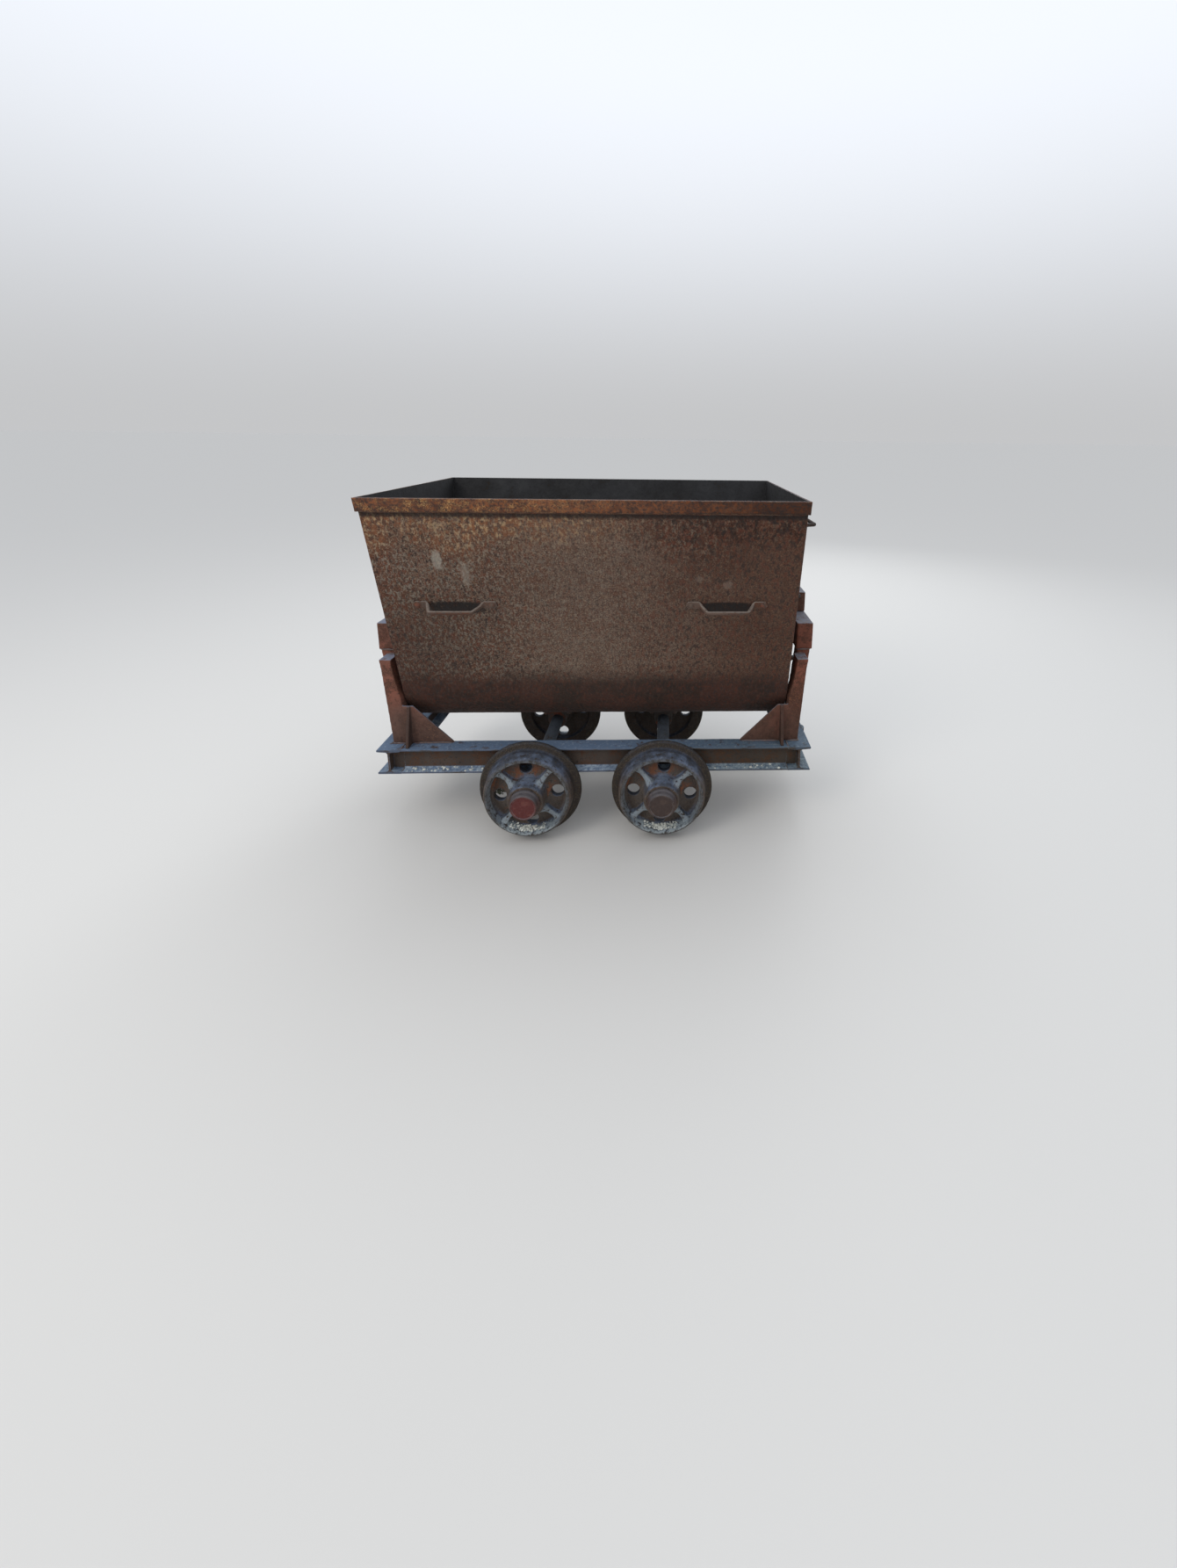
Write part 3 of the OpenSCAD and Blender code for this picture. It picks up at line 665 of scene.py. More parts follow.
def span(low, high, pitch):
    count = max(1, round(abs(high - low) / pitch))
    return [low + (high - low) * i / count for i in range(count + 1)]


def fade(distance, over):
    """0 up to no distance, rising to 1 at the distance over."""
    return min(1, max(0, distance / over))


AXIS_MAPS = {
    "X": lambda t, a, b: Vector((t, a, b)),
    "Y": lambda t, a, b: Vector((a, t, b)),
}


def prism(bm, outline, axis, low, high, pitch=1.0):
    """A closed bar along an axis, with the outline in the other two axes' plane."""
    at = AXIS_MAPS[axis]
    loft(bm, [[at(t, a, b) for a, b in outline] for t in span(low, high, pitch)])


def turns(count):
    """Cosine and sine of evenly spaced angles round a full circle."""
    return [(math.cos(2 * math.pi * i / count), math.sin(2 * math.pi * i / count)) for i in range(count)]


def dome(bm, matrix, profile, segments=20):
    """A solid of revolution about local Z; the profile runs from its foot to its top, (radius, height)."""
    loft(bm, [[matrix @ Vector((r * c, r * s, h)) for c, s in turns(segments)] for r, h in profile])


def hex_head(bm, matrix, across, height):
    """A hexagon head or nut along local Z, measured across its flats, chamfered to a round crown."""
    flat = across / 2
    crown_r = flat * 0.94
    foot, shoulder, crown = [], [], []
    for i in range(24):
        turn = math.radians(15 * i)
        edge = flat / math.cos((turn + math.pi / 6) % (math.pi / 3) - math.pi / 6)
        c, s = math.cos(turn), math.sin(turn)
        drop = (edge - crown_r) * 0.62
        foot.append(matrix @ Vector((edge * c, edge * s, 0)))
        shoulder.append(matrix @ Vector((edge * c, edge * s, height - drop)))
        crown.append(matrix @ Vector((crown_r * c, crown_r * s, height)))
    loft(bm, [foot, shoulder, crown])


def wave(point, size, seed):
    return noise.noise(Vector(point) / size + Vector((seed * 7.31, seed * 3.17, seed * 5.07)))


def roughen(mesh, depth, size, seed):
    """Presses the surface in by up to depth, unevenly, as forging, casting and rust do."""
    moves = []
    for v in mesh.vertices:
        pull = 0.5 + 0.38 * wave(v.co, size, seed) + 0.22 * wave(v.co, size / 3.3, seed + 1)
        moves.append(v.co - v.normal * depth * min(max(pull, 0), 1))
    mesh.vertices.foreach_set("co", [c for move in moves for c in move])
    mesh.update()


def evaluated(piece):
    """The piece's mesh with its modifiers applied; the piece itself is thrown away."""
    bpy.context.view_layer.update()
    graph = bpy.context.evaluated_depsgraph_get()
    mesh = bpy.data.meshes.new_from_object(piece.evaluated_get(graph))
    bpy.data.objects.remove(piece)
    return mesh


def fuse(bm, voxel, rounds=2, keep=1.0):
    """Joins overlapping closed shapes into one skin with softened edges and inner corners."""
    scratch = bpy.data.objects.new("scratch", to_mesh(bm))
    show(scratch)
    skin = scratch.modifiers.new("skin", "REMESH")
    skin.mode = "VOXEL"
    skin.voxel_size = voxel
    soften = scratch.modifiers.new("soften", "SMOOTH")
    soften.factor = 0.5
    soften.iterations = rounds
    if keep < 1:
        thin = scratch.modifiers.new("thin", "DECIMATE")
        thin.ratio = keep
    return evaluated(scratch)


def grid_plate(rows, columns, front, back):
    """A closed plate from two grids of points; front and back take (row, column)."""
    bm = bmesh.new()
    sheets = []
    for index, side in enumerate((front, back)):
        sheet = [[bm.verts.new(side(i, j)) for j in range(columns)] for i in range(rows)]
        sheets.append(sheet)
        for i in range(rows - 1):
            for j in range(columns - 1):
                face = bm.faces.new((sheet[i][j], sheet[i][j + 1], sheet[i + 1][j + 1], sheet[i + 1][j]))
                face.material_index = index
    border = [(0, j) for j in range(columns)] + [(i, columns - 1) for i in range(1, rows)]
    border += [(rows - 1, j) for j in range(columns - 2, -1, -1)] + [(i, 0) for i in range(rows - 2, 0, -1)]
    for (i, j), (k, m) in zip(border, border[1:] + border[:1]):
        bm.faces.new((sheets[0][i][j], sheets[0][k][m], sheets[1][k][m], sheets[1][i][j]))
    return bm


def bead(bm, points, radius, seed, pitch=2.4 * MM, sides=8):
    """A rippled weld bead along a line of points, tapered at its ends."""
    ripple = 4.6 * MM
    path = [Vector(p) for p in points]
    lengths = [(b - a).length for a, b in zip(path, path[1:])]
    rings = []
    total = sum(lengths)
    travel = 0.0
    for a, b, length in zip(path, path[1:], lengths):
        along = (b - a).normalized()
        side = along.orthogonal().normalized()
        up = along.cross(side)
        for t in span(0, length, pitch)[: None if b is path[-1] else -1]:
            here = a + along * t
            s = travel + t
            size = 0.90 + 0.16 * math.sin(2 * math.pi * s / ripple) + 0.16 * wave(here, 0.011, seed)
            size *= radius * min(1, 0.35 + 40 * min(s, total - s))
            rings.append([here + (side * p + up * q) * size for p, q in turns(sides)])
        travel += length
    loft(bm, rings)


def crumb(bm, place, size, rng):
    """A small angular lump."""
    made = bmesh.ops.create_icosphere(bm, subdivisions=1, radius=size)["verts"]
    stretch = Vector((rng.uniform(0.7, 1.3), rng.uniform(0.7, 1.3), rng.uniform(0.5, 0.9)))
    for v in made:
        v.co = Vector(a * b for a, b in zip(v.co, stretch)) * rng.uniform(0.8, 1.15)
        v.co += Vector(place)


# -------------------- tub


def tub_path(inset):
    """Points (y, z) of the tub's section from the near rim, under the round bottom, to the far rim."""
    angle = math.pi / 2 - SIDE_LEAN
    radius = BOTTOM_R - inset
    sides = [(-half_width(z, inset), z) for z in span(RIM_Z, TANGENT_Z, 14 * MM)][:-1]
    arc = [(radius * math.sin(t), BOTTOM_Z - radius * math.cos(t)) for t in span(-angle, angle, 0.06)]
    return sides + arc + [(-y, z) for y, z in reversed(sides)]


# How far in from its edges a sheet is held nearly flat
HELD = 90 * MM


def sheet_dent(x, y, z):
    """How far the tub's sheet has been knocked in (or out, below 0) at a point, in metres."""
    here = Vector((x, 0.0 if z > TANGENT_Z else y, z))
    deep = 3.6 * MM * wave(here, 0.30, 3 + (y > 0)) + 1.5 * MM * wave(here, 0.11, 5 + (y > 0))
    calm = fade(TUB_X - abs(x) - 20 * MM, HELD) * fade(RIM_Z - z - 45 * MM, HELD)
    if y < 0:
        calm *= max(0.05, fade(abs(z - HANDLE_Z) - 20 * MM, 70 * MM))
    if z < TANGENT_Z:
        calm *= 0.25
    return deep * calm


def tub_shell():
    outer = tub_path(0)
    inner = tub_path(SHEET)
    xs = span(-TUB_X, TUB_X, 13 * MM)

    def at(path):
        def point(i, j):
            y, z = path[j]
            k = min(max(j, 1), len(path) - 2)
            (y0, z0), (y1, z1) = path[k - 1], path[k + 1]
            inward = Vector((0, z0 - z1, y1 - y0)).normalized()
            return Vector((xs[i], y, z)) + inward * sheet_dent(xs[i], *outer[j])
        return point

    place_piece("tub_shell", grid_plate(len(xs), len(outer), at(outer), at(inner)), ("tub", "inside"), "tub",
                ("side_sheet_near", "side_sheet_far", "bottom_sheet"))


# Flat places on the end plates, as middle and half size across and upright
ARM_SEAT = (28 * MM, 120 * MM, 785 * MM, 85 * MM)
PUSH_SEAT = (300 * MM, 50 * MM, PUSH_Z, 40 * MM)


def tub_end(end):
    """End plate between the sheets, a little dished by its loads."""
    sign = ENDS[end]
    inset = SHEET + WELD_GAP
    radius = BOTTOM_R - inset
    angles = span(-math.radians(84), -SIDE_LEAN, 0.09)
    heights = [BOTTOM_Z + radius * math.sin(a) for a in angles]
    heights += span(heights[-1], RIM_Z, 18 * MM)[1:]
    columns = 45

    def off_seat(y, z, seat, over):
        across, half_across, up, half_up = seat
        return fade(max(abs(y - across) / half_across, abs(z - up) / half_up) - 1, over)

    def dished(y, z):
        calm = fade(half_width(z, inset) - abs(y), HELD) * fade(RIM_Z - z - 50 * MM, 100 * MM)
        calm *= off_seat(y, z, ARM_SEAT, 0.6)
        if sign > 0:
            calm *= off_seat(abs(y), z, PUSH_SEAT, 0.8)
        return calm * MM * (2.6 + 2.4 * wave((y, z, sign), 0.26, 9) + 1.1 * wave((y, z, sign), 0.09, 11))

    def at(x):
        def point(i, j):
            z = heights[i]
            y = half_width(z, inset) * (2 * j / (columns - 1) - 1)
            return Vector((sign * (x - dished(y, z)), y, z))
        return point

    place_piece(f"tub_end_{end}", grid_plate(len(heights), columns, at(TUB_X), at(TUB_X - SHEET)),
                ("tub", "inside"), "tub", (f"end_plate_{end}",))


def band_bar(foot, head, thick, sign, axis, half_length, seed):
    """A rim band with softened edges that has been knocked and rusted along its length."""
    section = [(foot, BAND_LOW), (head, RIM_Z), (head + thick, RIM_Z), (foot + thick, BAND_LOW)]
    bm = bmesh.new()
    prism(bm, rounded(mirrored(section, sign), 2 * MM), axis, -half_length, half_length, 9 * MM)
    mesh = to_mesh(bm)
    roughen(mesh, 1.1 * MM, 0.05, seed)
    return mesh


def rim_bands():
    run = BAND / math.cos(SIDE_LEAN)
    for seed, (side, sign) in enumerate(SIDES.items()):
        mesh = band_bar(half_width(BAND_LOW), RIM_HALF, run, sign, "X", TUB_X + BAND, seed + 20)
        place_piece(f"rim_{side}", mesh, "rim", "tub", (f"rim_band_{side}",))
    for seed, (end, sign) in enumerate(ENDS.items()):
        mesh = band_bar(TUB_X, TUB_X, BAND, sign, "Y", RIM_HALF - 1 * MM, seed + 24)
        for v in mesh.vertices:
            v.co.y *= half_width(v.co.z) / RIM_HALF
        place_piece(f"rim_{end}", mesh, "rim", "tub", (f"rim_band_{end}",))


def tub_welds():
    """Beads round the end plates inside and out, at the rim's corners and under the band."""
    outside, within = bmesh.new(), bmesh.new()
    outline = [point for point in tub_path(SHEET * 0.9) if point[1] < BAND_LOW]
    inline = [point for point in tub_path(SHEET + 1.5 * MM) if point[1] < RIM_Z - 4 * MM]
    for sign in ENDS.values():
        bead(outside, [(sign * (TUB_X + 0.2 * MM), y, z) for y, z in outline], 2.4 * MM, 31 + sign)
        inner_x = sign * (TUB_X - SHEET - 1.5 * MM)
        bead(within, [(inner_x, y, z) for y, z in inline], 3.0 * MM, 34 + sign, 4 * MM, 6)
        corner_x = sign * (TUB_X + BAND - 2 * MM)
        for side in SIDES.values():
            foot = (corner_x, side * (half_width(BAND_LOW) + 0.5 * MM), BAND_LOW + 3 * MM)
            head = (corner_x, side * (RIM_HALF + 0.5 * MM), RIM_Z - 3 * MM)
            bead(outside, [foot, head], 2.0 * MM, 37 + sign + side)
    for side in SIDES.values():
        y = side * (half_width(BAND_LOW - MM) + 0.6 * MM)
        xs = span(-TUB_X + 10 * MM, TUB_X - 10 * MM, 120 * MM)
        bead(outside, [(x, y, BAND_LOW - 0.6 * MM) for x in xs], 2.0 * MM, 41 + side)
    place_piece("tub_welds", outside, "seam", "tub")
    place_piece("tub_inner_welds", within, "inside", "tub")


# -------------------- handles


def forged_handle(length, out, bar, matrix, seed):
    """A bent round bar whose ends are hammered flat: local x along it, local z away from its sheet."""
    half = length / 2
    foot, knuckle = half - 44 * MM, half - 66 * MM
    flat, foot_half_width, bend_r = 3.5 * MM, 12 * MM, 9 * MM
    corners = [(-half, flat), (-foot, flat), (-knuckle, out), (knuckle, out), (foot, flat), (half, flat)]
    corners = [Vector(corner) for corner in corners]
    bends = [point for three in zip(corners, corners[1:], corners[2:]) for point in bend(*three, bend_r, 6)]
    stops = [corners[0], *bends, corners[-1]]
    path = []
    for a, b in zip(stops, stops[1:]):
        path += [a.lerp(b, t) for t in span(0, 1, 3 * MM / max((b - a).length, 1e-6))[:-1]]
    path.append(stops[-1])
    rings = []
    for k, (x, z) in enumerate(path):
        before, after = path[max(k - 1, 0)], path[min(k + 1, len(path) - 1)]
        along = (after - before).normalized()
        lift = Vector((-along.y, along.x))
        hammered = fade(abs(x) - foot + 6 * MM, 10 * MM)
        tip = min(1, (half - abs(x)) / (11 * MM))
        round_end = math.sqrt(max(1 - (1 - tip) ** 2, 0.06))
        wide = (bar / 2) * (1 - hammered) + foot_half_width * hammered * round_end
        thick = (bar / 2) * (1 - hammered) + flat * hammered
        wobble = 0.35 * MM * wave((x, z, 0), 0.03, seed) - 0.3 * MM
        ring = []
        for c, s in turns(20):
            square = 1 + 0.30 * hammered * (abs(c * s) * 2) ** 2
            a, b = (wide + wobble) * c * square, (thick + wobble * (1 - hammered)) * s * square
            b = max(b, -z + 0.05 * MM) if hammered > 0.5 else b
            ring.append(matrix @ Vector((x + lift.x * b, a, z + lift.y * b)))
        rings.append(ring)
    bm = bmesh.new()
    loft(bm, rings)
    return bm


def sheet_matrix(x, z):
    """Local frame on the near side sheet: x along the cart, z out of the sheet."""
    turn = Matrix.Rotation(math.pi / 2 + SIDE_LEAN, 4, "X")
    return Matrix.Translation((x, -half_width(z), z)) @ turn


def end_matrix(z):
    """Local frame on the right end plate: x across the cart, z out of the plate."""
    return Matrix(((0, 0, 1, TUB_X), (1, 0, 0, 0), (0, 1, 0, z), (0, 0, 0, 1)))


def handles():
    parts = []
    for end in ENDS:
        low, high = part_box(f"handle_{end}")
        seat = sheet_matrix((low.x + high.x) / 2, HANDLE_Z)
        parts.append((f"handle_{end}", f"grab_handle_{end}", high.x - low.x, seat, "handle"))
    low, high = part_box("push_bar")
    parts.append(("push_bar", "push_bar_forging", high.y - low.y, end_matrix(PUSH_Z), "push_bar"))
    rivets = bmesh.new()
    rivet = [(9.4 * MM, 0)]
    rivet += [(9 * MM * math.cos(t), 7.2 * MM * math.sin(t)) for t in span(0, math.radians(84), 0.25)]
    for seed, (node, name, length, matrix, look) in enumerate(parts):
        bm = forged_handle(length, 52 * MM, 13 * MM, matrix, 50 + seed)
        place_piece(name, bm, look, "tub", (node,), sharp=60)
        for side in (-1, 1):
            seat = matrix @ Matrix.Translation((side * (length / 2 - 15 * MM), 0, 6.6 * MM))
            dome(rivets, seat, rivet, 18)
    place_piece("rivet_heads", rivets, "fastener", "tub", ("handle_rivets",),
                wear=(0.5 * MM, 0.008, 57))


# -------------------- frame beams

HALF_WEB = 3.5 * MM
WEB_INSET = 9 * MM


def rolled_section(centre, base, width, height):
    """A rolled I-section standing on base: tapered flanges, round toes and root fillets."""
    w, toe, root = width / 2, 7.5 * MM, 10.5 * MM
    corners = [(-w, 0), (w, 0), (w, toe), (HALF_WEB, root), (HALF_WEB, height - root), (w, height - toe),
               (w, height), (-w, height), (-w, height - toe), (-HALF_WEB, height - root), (-HALF_WEB, root),
               (-w, toe)]
    outline = rounded(corners, [r * MM for r in (1.6, 1.6, 3.5, 8, 8, 3.5) * 2])
    return [(centre + a, base + b) for a, b in outline]


def beams():
    for seed, side in enumerate(SIDES):
        low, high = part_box(f"beam_{side}")
        centre, base = (low.y + high.y) / 2, low.z
        bm = bmesh.new()
        section = rolled_section(centre, base, high.y - low.y, high.z - low.z)
        prism(bm, section, "X", -FLANGE_END, FLANGE_END, 16 * MM)
        web = rectangle(centre - HALF_WEB, base + WEB_INSET, centre + HALF_WEB, high.z - WEB_INSET)
        for sign in ENDS.values():
            prism(bm, web, "X", sign * (FLANGE_END - MM), sign * high.x, 20 * MM)
        place_piece(f"side_beam_{side}", bm, "beam", "frame", (f"beam_{side}",),
                    wear=(0.9 * MM, 0.09, 60 + seed))
    for seed, end in enumerate(ENDS):
        low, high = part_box(f"end_beam_{end}")
        section = rolled_section((low.x + high.x) / 2, low.z, high.x - low.x, high.z - low.z)
        bm = bmesh.new()
        prism(bm, section, "Y", low.y, high.y, 14 * MM)
        place_piece(f"cross_beam_{end}", bm, "beam", "frame", (f"end_beam_{end}",),
                    wear=(0.9 * MM, 0.09, 64 + seed))


# -------------------- end stands


def stand_bar(name, node, outline, low_y, high_y, seed):
    bm = bmesh.new()
    prism(bm, outline, "Y", low_y, high_y)
    place_piece(name, fuse(bm, 4 * MM), "oxide", "frame", (node,), sharp=60,
                wear=(0.9 * MM, 0.05, seed))


def stands():
    """Posts, rails and knees, each a thick bar or plate with softened, uneven edges."""
    foot_width, head_width = 43 * MM, 47 * MM
    for end, sign in ENDS.items():
        low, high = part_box(f"stand_rail_{end}")
        inner, outer = reach(f"stand_rail_{end}", 0)
        outline = mirrored(rectangle(inner, low.z, outer, high.z), sign)
        stand_bar(f"rail_{end}", f"stand_rail_{end}", outline, low.y, high.y, 70 + sign)
        for side, across in SIDES.items():
            name = f"{side}_{end}"
            seed = 72 + 4 * sign + across
            low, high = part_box(f"stand_post_{name}")
            foot_in, head_out = reach(f"stand_post_{name}", 0)
            outline = [(foot_in, low.z), (foot_in + foot_width, low.z), (head_out, high.z),
                       (head_out - head_width, high.z)]
            stand_bar(f"post_{name}", f"stand_post_{name}", mirrored(outline, sign), low.y, high.y, seed)
            knee(name, sign, across, seed + 10)


def knee(name, sign, across, seed):
    """A bar with a hollow inner edge, a gusset plate beside its foot, and a rib along the gusset."""
    node = f"knee_{name}"
    back_y, face_y = reach(node, 1)
    tip_x = reach(node, 0)[0]
    base, top = (corner.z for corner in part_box(node))
    inner_x = 668 * MM
    joined_x = inner_x + 2 * MM
    outer_edge = [(inner_x, base), (707 * MM, base), *mm((710, 350), (727, 580)), (732 * MM, top)]
    hollow_edge = mm((692, 613), (692, 600), (690.5, 585), (687.5, 560), (683.5, 535), (678.5, 510),
                     (672.5, 487), (668, 470))
    bm = bmesh.new()
    prism(bm, mirrored(outer_edge + hollow_edge, sign), "Y", across * back_y, across * KNEE_FOOT_Y)
    plate = [(tip_x, base), (joined_x, base), (joined_x, GUSSET_TOP), (632 * MM, GUSSET_TOP),
             (621 * MM, GUSSET_TOP - 11 * MM), (tip_x + 4 * MM, base + 8 * MM)]
    prism(bm, mirrored(plate, sign), "Y", across * (KNEE_FOOT_Y - 8 * MM), across * KNEE_FOOT_Y)
    rib = [(face_y, base), (KNEE_FOOT_Y - 2 * MM, base), (KNEE_FOOT_Y - 2 * MM, GUSSET_TOP),
           (KNEE_FOOT_Y + 5 * MM, GUSSET_TOP)]
    prism(bm, mirrored(rib, across), "X", sign * RIB_IN, sign * RIB_OUT)
    place_piece(f"knee_plate_{name}", fuse(bm, 2.5 * MM), "oxide", "frame", (node,), sharp=60,
                wear=(0.7 * MM, 0.045, seed))


def frame_welds():
    """Beads where the stands meet the beams, the rails and each other."""
    bm = bmesh.new()
    top = beam_high.z + 0.5 * MM
    post_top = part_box("stand_post_near_left")[1].z
    lines = [  # radius and (x, y) in millimetres, with z in metres
        (3.6, [(704, 155.5, post_top - MM), (749, 155.5, post_top + MM)]),
        (3.4, [(674, 155.5, top), (716, 155.5, top), (716, 108, top)]),
        (3.4, [(668, 215, top), (708, 215, top), (708, 158, top)]),
        (2.8, [(505, 214.5, top), (638, 214.5, top)]),
        (2.8, [(505, 205.5, top), (664, 205.5, top)]),
    ]
    cap = (2.8, [(694, 157, KNEE_TOP), (731, 157, KNEE_TOP)])
    for sign in ENDS.values():
        for across in SIDES.values():
            seed = 90 + sign + 3 * across
            for k, (radius, line) in (*enumerate(lines), (7, cap)):
                bead(bm, [(sign * x * MM, across * y * MM, z) for x, y, z in line], radius * MM, seed + k)
            for k, radius, z in ((5, 2.8, beam_high.z), (6, 2.6, beam_low.z + WEB_INSET)):
                ends = sorted((across * 202 * MM, across * 258 * MM))
                bead(bm, [(sign * FLANGE_END, y, z) for y in ends], radius * MM, seed + k)
    place_piece("frame_welds", bm, "weld", "frame")


def stop_knob():
    """The short round stop on the right near post, with a mushroomed head."""
    low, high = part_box("post_stop")
    centre = middle("post_stop")
    length = high.x - low.x
    bm = bmesh.new()
    seat = Matrix.Translation((high.x, centre.y, centre.z)) @ Matrix.Rotation(-math.pi / 2, 4, "Y")
    head = [(9, 17), (12.5, 14), (14, 9), (13.4, 4), (10, 0.6), (4, 0)]
    dome(bm, seat, [(9 * MM, 0)] + [(r * MM, length - back * MM) for r, back in head], 22)
    place_piece("post_stop_knob", bm, "weld", "frame", ("post_stop",),
                wear=(0.9 * MM, 0.012, 140))


# -------------------- hinge arms


def hinge_arms():
    """Arms of a plate on the tub's end, a block that rests on the rail, and a tongue with a round eye."""
    plate_thick, eye_r, eye_y = 10 * MM, 30 * MM, 155 * MM
    bolt_z = middle("arm_bolts").z
    bolts, screws = bmesh.new(), bmesh.new()
    for end, sign in ENDS.items():
        base, top = (corner.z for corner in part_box(f"hinge_arm_{end}"))
        outer = reach(f"hinge_arm_{end}", 0)[1]
        block_top = base + 75 * MM - 0.3 * MM
        eye_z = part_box(f"hinge_pin_{end}")[0].z + 17 * MM
        eye_x = (sign * 711.5 * MM, sign * 741.5 * MM)
        bm = bmesh.new()
        prism(bm, rectangle(-62 * MM, base, 118 * MM, top), "X", sign * TUB_X, sign * (TUB_X + plate_thick))
        prism(bm, rectangle(-15 * MM, base, 92 * MM, block_top), "X", sign * (TUB_X + 2 * MM), sign * outer)
        prism(bm, rectangle(82 * MM, base + 3 * MM, eye_y, eye_z + eye_r), "X", *eye_x)
        prism(bm, [(eye_y + eye_r * c, eye_z + eye_r * s) for c, s in turns(48)], "X", *eye_x)
        place_piece(f"arm_forging_{end}", fuse(bm, 3 * MM), "oxide", "tub",
                    (f"hinge_arm_{end}",), sharp=60, wear=(0.7 * MM, 0.05, 110 + sign))
        outward = Matrix.Rotation(sign * math.pi / 2, 4, "Y")
        for y in (-45 * MM, 100 * MM):
            seat = Matrix.Translation((sign * (TUB_X + plate_thick), y, bolt_z)) @ outward
            dome(bolts, seat, mm((14, 0), (14, 1.6), (13, 2.2)), 24)
            hex_head(bolts, seat @ Matrix.Translation((0, 0, 2 * MM)), 20.6 * MM, 6.8 * MM)
        seat = Matrix.Translation((sign * 730 * MM, -15.2 * MM, block_top - 14 * MM))
        screw = mm((9, -1), (9, 2.4), (7.6, 4.2), (4, 5.2))
        dome(screws, seat @ Matrix.Rotation(math.pi / 2, 4, "X"), screw)
    place_piece("arm_bolt_heads", bolts, "fastener", "tub", ("arm_bolts",))
    place_piece("arm_grease_screws", screws, "iron", "tub")


# -------------------- wheels


def wheel_outline(back, front, flange, hub):
    """The wheel's section from (radius, distance outward, corner's own radius), all in millimetres."""
    corners = [
        (33, back, 1), (52, back, 3), (55, flange, 5), (122, flange - 3, 6), (126, flange - 18, 3),
        (169, flange - 18, 3), (173.6, flange - 14, 3), (173.6, flange - 7, 3), (169, flange - 2, 3),
        (155, flange + 1, 1), (150, flange + 7, 5), (145.5, front - 9, 4), (138, front - 0.4, 3),
        (131, front - 0.4, 2), (124.5, flange + 23, 3), (119, flange + 17, 5), (73, flange + 20, 6),
        (64, flange + 26, 4), (60, hub - 5, 2), (56, hub - 0.4, 2), (33, hub - 0.4, 1),
    ]
    return rounded([(r * MM, h * MM) for r, h, _ in corners], [f * MM for _, _, f in corners])


def wheel_rib_rings(turn):
    """A rib that is widest where it meets the hub and the rim."""
    stations = [(56, 17, 350), (62, 14.5, 348), (68, 11.5, 343), (78, 9.2, 333), (90, 8.6, 326),
                (104, 8.8, 325), (116, 9.8, 327), (124, 12, 330), (130, 15, 332)]  # radius, half width, top
    foot = 298
    c, s = math.cos(turn), math.sin(turn)
    rings = []
    for r, half, top in stations:
        ring = [(-half - 2, foot), (half + 2, foot), (half, top - 4), (half - 3, top), (3 - half, top),
                (-half, top - 4)]
        rings.append([Vector((r * c - a * s, h, r * s + a * c)) * MM for a, h in ring])
    return rings


def wheel_master():
    """One wheel about its own axis, with its face towards +Y, measured from the middle of the track."""
    outline = wheel_outline(268, 346, 290, 366)
    solid = bmesh.new()
    loft(solid, [[Vector((r * c, h, r * s)) for r, h in outline] for c, s in turns(112)], closed=True)
    holes = bmesh.new()
    for c0, s0 in ((math.cos(math.radians(90 * k)), math.sin(math.radians(90 * k))) for k in range(4)):
        hole = [(HOLE_RING * c0 + HOLE_R * c, HOLE_RING * s0 + HOLE_R * s) for c, s in turns(40)]
        prism(holes, hole, "Y", 260 * MM, 340 * MM)
    disc, cutter = (bpy.data.objects.new("scratch", to_mesh(bm)) for bm in (solid, holes))
    show(disc)
    show(cutter)
    cut = disc.modifiers.new("holes", "BOOLEAN")
    cut.object = cutter
    cut.solver = "EXACT"
    bm = bmesh.new()
    bm.from_mesh(evaluated(disc))
    bpy.data.objects.remove(cutter)
    for k in range(4):
        loft(bm, wheel_rib_rings(math.radians(45 + 90 * k)))
    mesh = fuse(bm, 2.4 * MM, 3, 0.6)
    roughen(mesh, 0.5 * MM, 0.03, 120)
    return mesh


def wheels():
    """Each wheel's mesh has its origin on the axle, level with the face of the disc."""
    master = wheel_master()
    to_face = Matrix.Translation((0, -WHEEL_FACE, 0)) @ Matrix.Rotation(math.radians(4.5), 4, "Y")
    for side, across in SIDES.items():
        for end, sign in ENDS.items():
            name = f"{side}_{end}"
            axle = middle(f"wheel_{name}")
            centre = Vector((axle.x, across * WHEEL_FACE, axle.z))
            mesh = master.copy()
            mesh.transform(Matrix.Diagonal((sign, across, 1, 1)) @ to_face)
            if sign * across < 0:
                mesh.flip_normals()
            place_piece(f"casting_{name}", mesh, f"{side}_wheel", f"wheel_{name}",
                        (f"wheel_{name}",), centre, sharp=60)
            hub_cap(name, centre, across)
    bpy.data.meshes.remove(master)


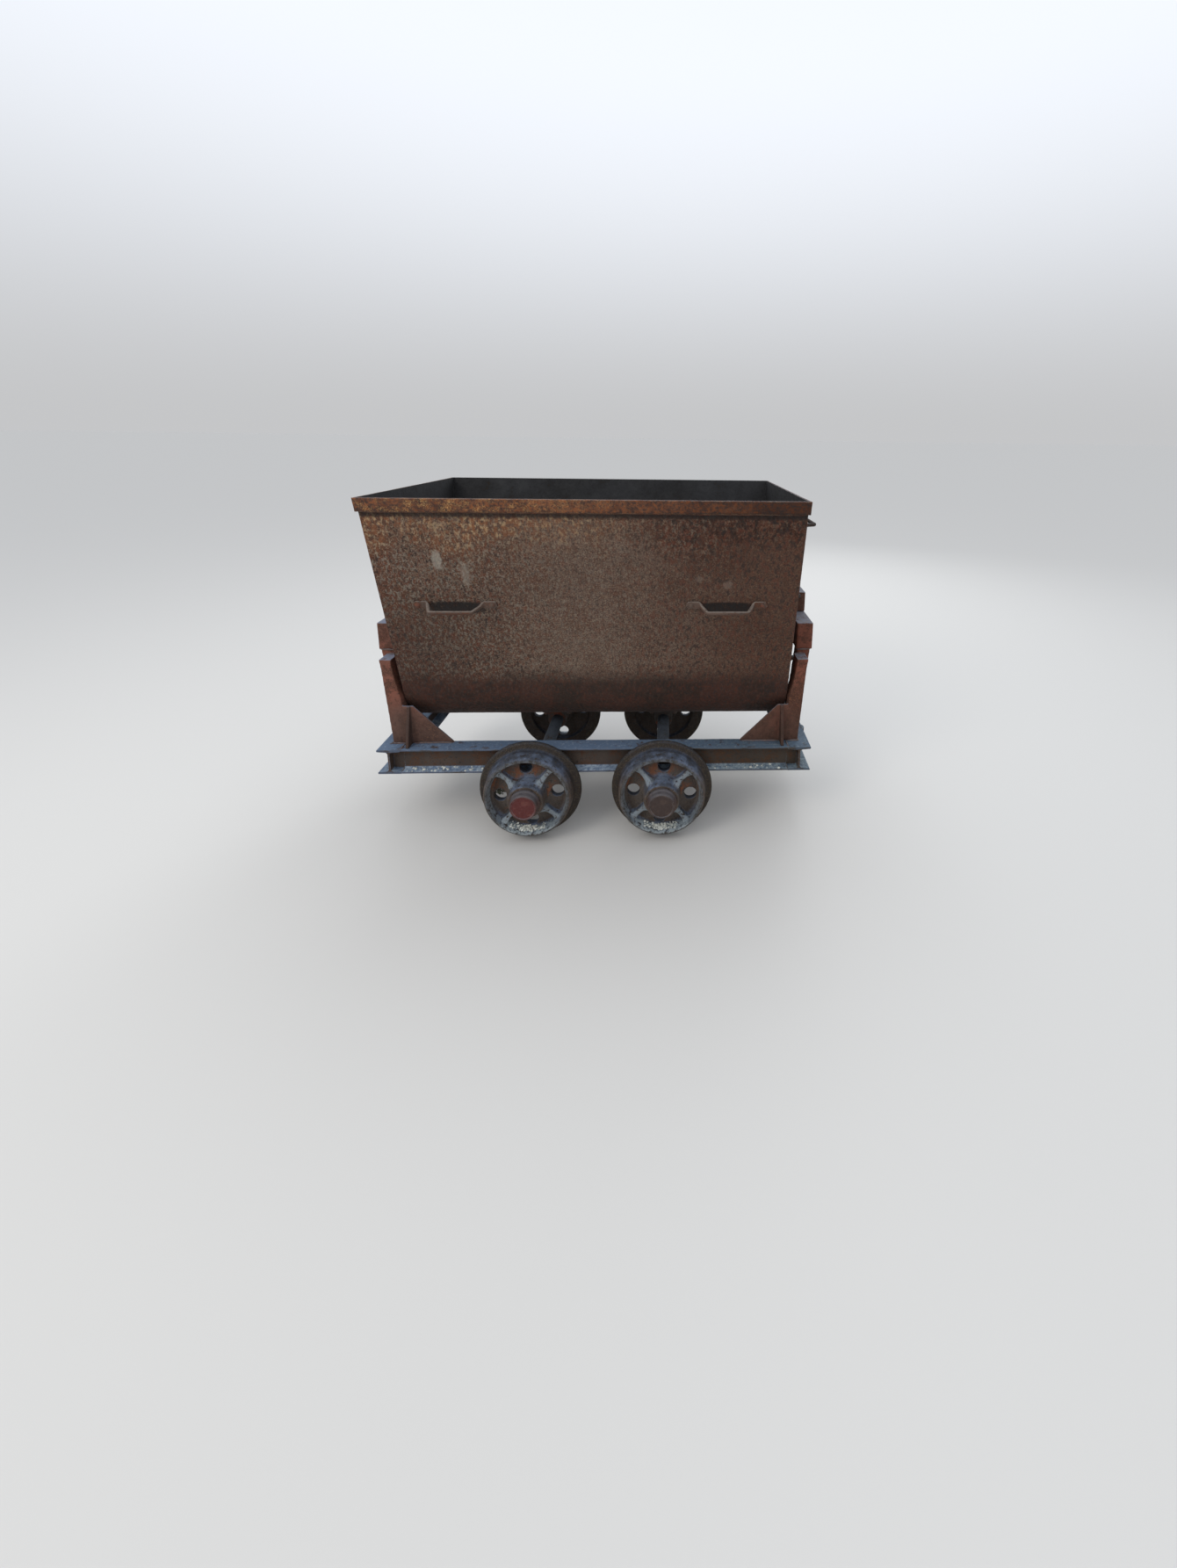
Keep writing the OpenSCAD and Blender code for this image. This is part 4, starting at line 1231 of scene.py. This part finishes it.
def hub_cap(name, centre, across):
    seat, end = (y - WHEEL_FACE for y in reach(f"hub_cap_{name}", 1))
    step, rim = seat + 12 * MM, end - 4.5 * MM
    corners = [  # radius, distance outward and the corner's own radius
        (41, seat, 0), (50, seat, 1.6), (50, seat + 8 * MM, 2.2), (46.5, step, 2), (45.5, rim, 1.2),
        (41.5, end, 1), (39.5, end, 0.8), (37.5, end - 1.6 * MM, 0.8)]
    profile = rounded([(r * MM, h) for r, h, _ in corners], [f * MM for _, _, f in corners])
    profile += [(r * MM, end - 1.8 * MM) for r in (28, 16, 6)]
    bm = bmesh.new()
    loft(bm, [[Vector((r * c, across * h, r * s)) for c, s in turns(72)] for r, h in profile])
    red = name in ("near_left", "far_right")
    place_piece(f"cap_{name}", bm, "red_cap" if red else "brown_cap", f"wheel_{name}",
                (f"hub_cap_{name}",), centre,
                wear=(0.35 * MM, 0.02, 130 + across))


# -------------------- dirt


def on_circle(centre, r, y, angle):
    return centre + Vector((r * math.cos(angle), y, r * math.sin(angle)))


def caked_dirt():
    """Pale crumbs caked at the foot of each near wheel's rim, and silt in one hole of the left wheel."""
    rng = random.Random(7)
    rim_face = 312 * MM
    for end in ENDS:
        axle = middle(f"wheel_near_{end}")
        axle.y = 0
        bm = bmesh.new()
        for _ in range(150):
            spread = rng.gauss(-0.04, 0.22)
            angle = -math.pi / 2 + max(-0.50, min(0.42, spread))
            r = 125 * MM + rng.uniform(-5, 3) * MM
            y = -rng.uniform(311, 334) * MM
            r += max(0, (abs(y) - rim_face)) * 0.16
            crumb(bm, on_circle(axle, r, y, angle), rng.uniform(1.4, 5.2) * MM, rng)
        place_piece(f"rim_crumbs_{end}", bm, "crumbs", f"wheel_near_{end}", sharp=20)
    axle = middle("wheel_near_left")
    hole = Vector((axle.x - HOLE_RING, 0, axle.z + 7 * MM))
    bm = bmesh.new()
    for _ in range(130):
        angle, r = rng.uniform(0, 2 * math.pi), 20 * MM * math.sqrt(rng.random())
        place = on_circle(hole, r, -rng.uniform(288, 300) * MM, angle)
        crumb(bm, place, rng.uniform(2.0, 4.6) * MM, rng)
    place_piece("hole_silt", bm, "silt", "wheel_near_left", sharp=20)


def beam_grit():
    """Pale flakes lying on the lower flanges of the side beams, thickest near their ends."""
    rng = random.Random(11)
    for side, across in SIDES.items():
        edge = across * reach(f"beam_{side}", 1)[1]
        bm = bmesh.new()
        for _ in range(80):
            x = rng.choice((-1, 1, -1)) * rng.uniform(0.30, 0.655)
            y = edge - across * rng.uniform(3, 26) * MM
            z = beam_low.z + 7.9 * MM + abs(edge - y) * 0.1
            crumb(bm, (x, y, z), rng.choice((1.6, 2.4, 3.2, 5.0)) * rng.uniform(0.8, 1.2) * MM, rng)
        place_piece(f"flange_grit_{side}", bm, "crumbs", "frame", sharp=20)


# -------------------- floor and CAD nodes


def make_floor():
    edge = 150
    data = bpy.data.meshes.new("floor")
    data.from_pydata([(x, y, 0) for x, y in rectangle(-edge, -edge, edge, edge)], [], [(0, 1, 2, 3)])
    floor = bpy.data.objects.new("floor", data)
    show(floor)
    plain = Shader("floor_plain", specular=0.0)
    plain.put(plain.surface.inputs["Base Color"], "cdcbc7")
    plain.put(plain.surface.inputs["Roughness"], 0.9)
    data.materials.append(plain.material)


def soften_node(piece, width):
    """Rounds a CAD node's edges with modifiers and leaves its mesh alone."""
    merge = piece.modifiers.new("merge", "WELD")
    merge.merge_threshold = 0.02 * MM
    bevel = piece.modifiers.new("edges", "BEVEL")
    bevel.width = width
    bevel.segments = 2
    bevel.limit_method = "ANGLE"
    bevel.angle_limit = math.radians(35)
    bevel.harden_normals = True


# The start of a node's name, its look, and how far its edges are rounded, in millimetres
NODE_LOOKS = [
    ("coupling_eye", "beam", 1.5), ("hinge_lugs", "oxide", 1.2), ("hinge_pin", "fastener", 0.8),
    ("hinge_cotters", "axle", 0), ("axle_box_bolts", "fastener", 0.6), ("axle_box", "iron", 2.5),
    ("axle_collars", "axle", 0.8), ("axle_washers", "fastener", 0.5), ("axle_nuts", "fastener", 0.6),
    ("axle_", "axle", 0), ("bush_", "bronze", 0),
]


def dress_cad_nodes():
    """Materials and softened edges for the CAD nodes that stay in view."""
    for name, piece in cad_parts.items():
        if piece.hide_render:
            continue
        look, width = next((look, width) for start, look, width in NODE_LOOKS if name.startswith(start))
        piece.data.materials.clear()
        piece.data.materials.append(LOOKS[look])
        if width:
            soften_node(piece, width * MM)


make_camera()
make_light()
make_floor()
tub_shell()
for end in ENDS:
    tub_end(end)
rim_bands()
tub_welds()
handles()
beams()
stands()
frame_welds()
hinge_arms()
wheels()
caked_dirt()
beam_grit()
stop_knob()
dress_cad_nodes()
